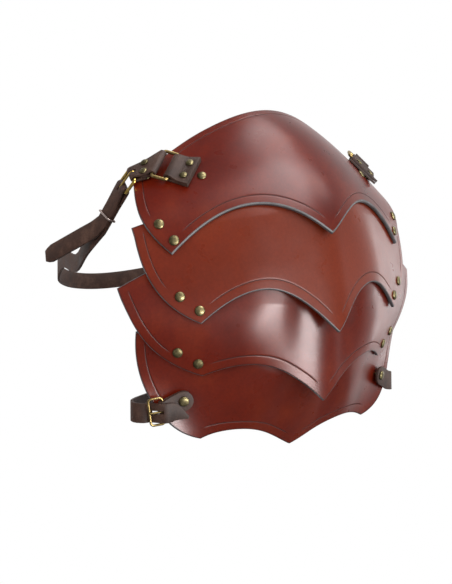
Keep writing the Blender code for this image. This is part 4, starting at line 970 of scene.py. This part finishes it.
corners = [(x, y, FLOOR_HEIGHT) for x, y in (
    (-FLOOR_REACH, -FLOOR_REACH), (FLOOR_REACH, -FLOOR_REACH),
    (FLOOR_REACH, FLOOR_REACH), (-FLOOR_REACH, FLOOR_REACH))]
floor = stage_piece("floor", corners, [(0, 1, 2, 3)], paper("floor_paper", "#c0c0c0"))
level_back = Vector((back.x, back.y, 0)).normalized()
foot = Vector((target.x, target.y, 0))
posts = []
for degrees in range(-WALL_TURN, WALL_TURN + 1, WALL_STEP):
    away = cos(radians(degrees)) * level_back + sin(radians(degrees)) * right
    posts += [foot - WALL_DISTANCE * away + Vector((0, 0, z)) for z in (FLOOR_HEIGHT, WALL_TOP)]
sheets = [(i, i + 2, i + 3, i + 1) for i in range(0, len(posts) - 2, 2)]
wall = stage_piece("wall", posts, sheets, paper("wall_paper", "#d4d4d4", white=True))

# Light
# Soft studio light from all round lights the colours evenly, and lamps that show only in gloss lay
# the long soft reflections on the leather: two from above and two low panels beside the plates.
PANEL_CENTRE = Vector((0.0, 0.0, -0.13))


def toward(azimuth, elevation):
    """Direction from the piece to a light: azimuth from +X towards +Y."""
    a, e = radians(azimuth), radians(elevation)
    return Vector((cos(e) * cos(a), cos(e) * sin(a), sin(e)))


def new_lamp(light, azimuth, elevation):
    """A lamp that shines on the piece from one direction."""
    lamp = bpy.data.objects.new(light.name, light)
    lamp.rotation_mode = "QUATERNION"
    lamp.rotation_quaternion = toward(azimuth, elevation).to_track_quat("Z", "Y")
    bpy.context.scene.collection.objects.link(lamp)
    return lamp


def sun(name, azimuth, elevation, strength, spread, gloss=False):
    """A distant soft light, for the gloss alone or for all but the gloss."""
    light = bpy.data.lights.new(name, "SUN")
    light.energy = strength
    light.angle = radians(spread)
    lamp = new_lamp(light, azimuth, elevation)
    lamp.visible_diffuse = not gloss
    lamp.visible_glossy = gloss


def panel(name, azimuth, elevation, distance, width, height, power):
    """A soft box near the piece, for the gloss alone."""
    light = bpy.data.lights.new(name, "AREA")
    light.shape = "RECTANGLE"
    light.size = width
    light.size_y = height
    light.energy = power
    lamp = new_lamp(light, azimuth, elevation)
    lamp.location = PANEL_CENTRE + toward(azimuth, elevation) * distance
    lamp.visible_camera = False
    lamp.visible_diffuse = False


sun("fill_front", azimuth=-68, elevation=22, strength=1.35, spread=70)
sun("fill_side", azimuth=25, elevation=24, strength=1.5, spread=70)
sun("fill_rear", azimuth=125, elevation=24, strength=1.5, spread=70)
sun("fill_inside", azimuth=-165, elevation=24, strength=1.3, spread=70)
sun("gloss_high", azimuth=72, elevation=58, strength=5.0, spread=54, gloss=True)
sun("gloss_front", azimuth=14, elevation=52, strength=3.4, spread=34, gloss=True)
panel("gloss_low", azimuth=8, elevation=-7, distance=1.3, width=0.8, height=0.44, power=45.0)
panel("gloss_rear", azimuth=100, elevation=-3, distance=1.3, width=0.12, height=0.6, power=1.2)
world = bpy.data.worlds.new("studio")
bpy.context.scene.world = world
world.use_nodes = True
air = world.node_tree
air.nodes.clear()
soft = add(air, "ShaderNodeBackground", {"Color": srgb("#5a5a5a"), "Strength": 1.0})
# beyond the wall the studio has about the tone of the lit floor, to the camera and in gloss
beyond = add(air, "ShaderNodeBackground", {"Color": srgb("#a0a0a0"), "Strength": 1.0})
shown = add(air, "ShaderNodeMixShader", {0: seen_directly(air), 1: soft, 2: beyond})
add(air, "ShaderNodeOutputWorld", {"Surface": shown})
bpy.context.scene.view_settings.view_transform = "Standard"
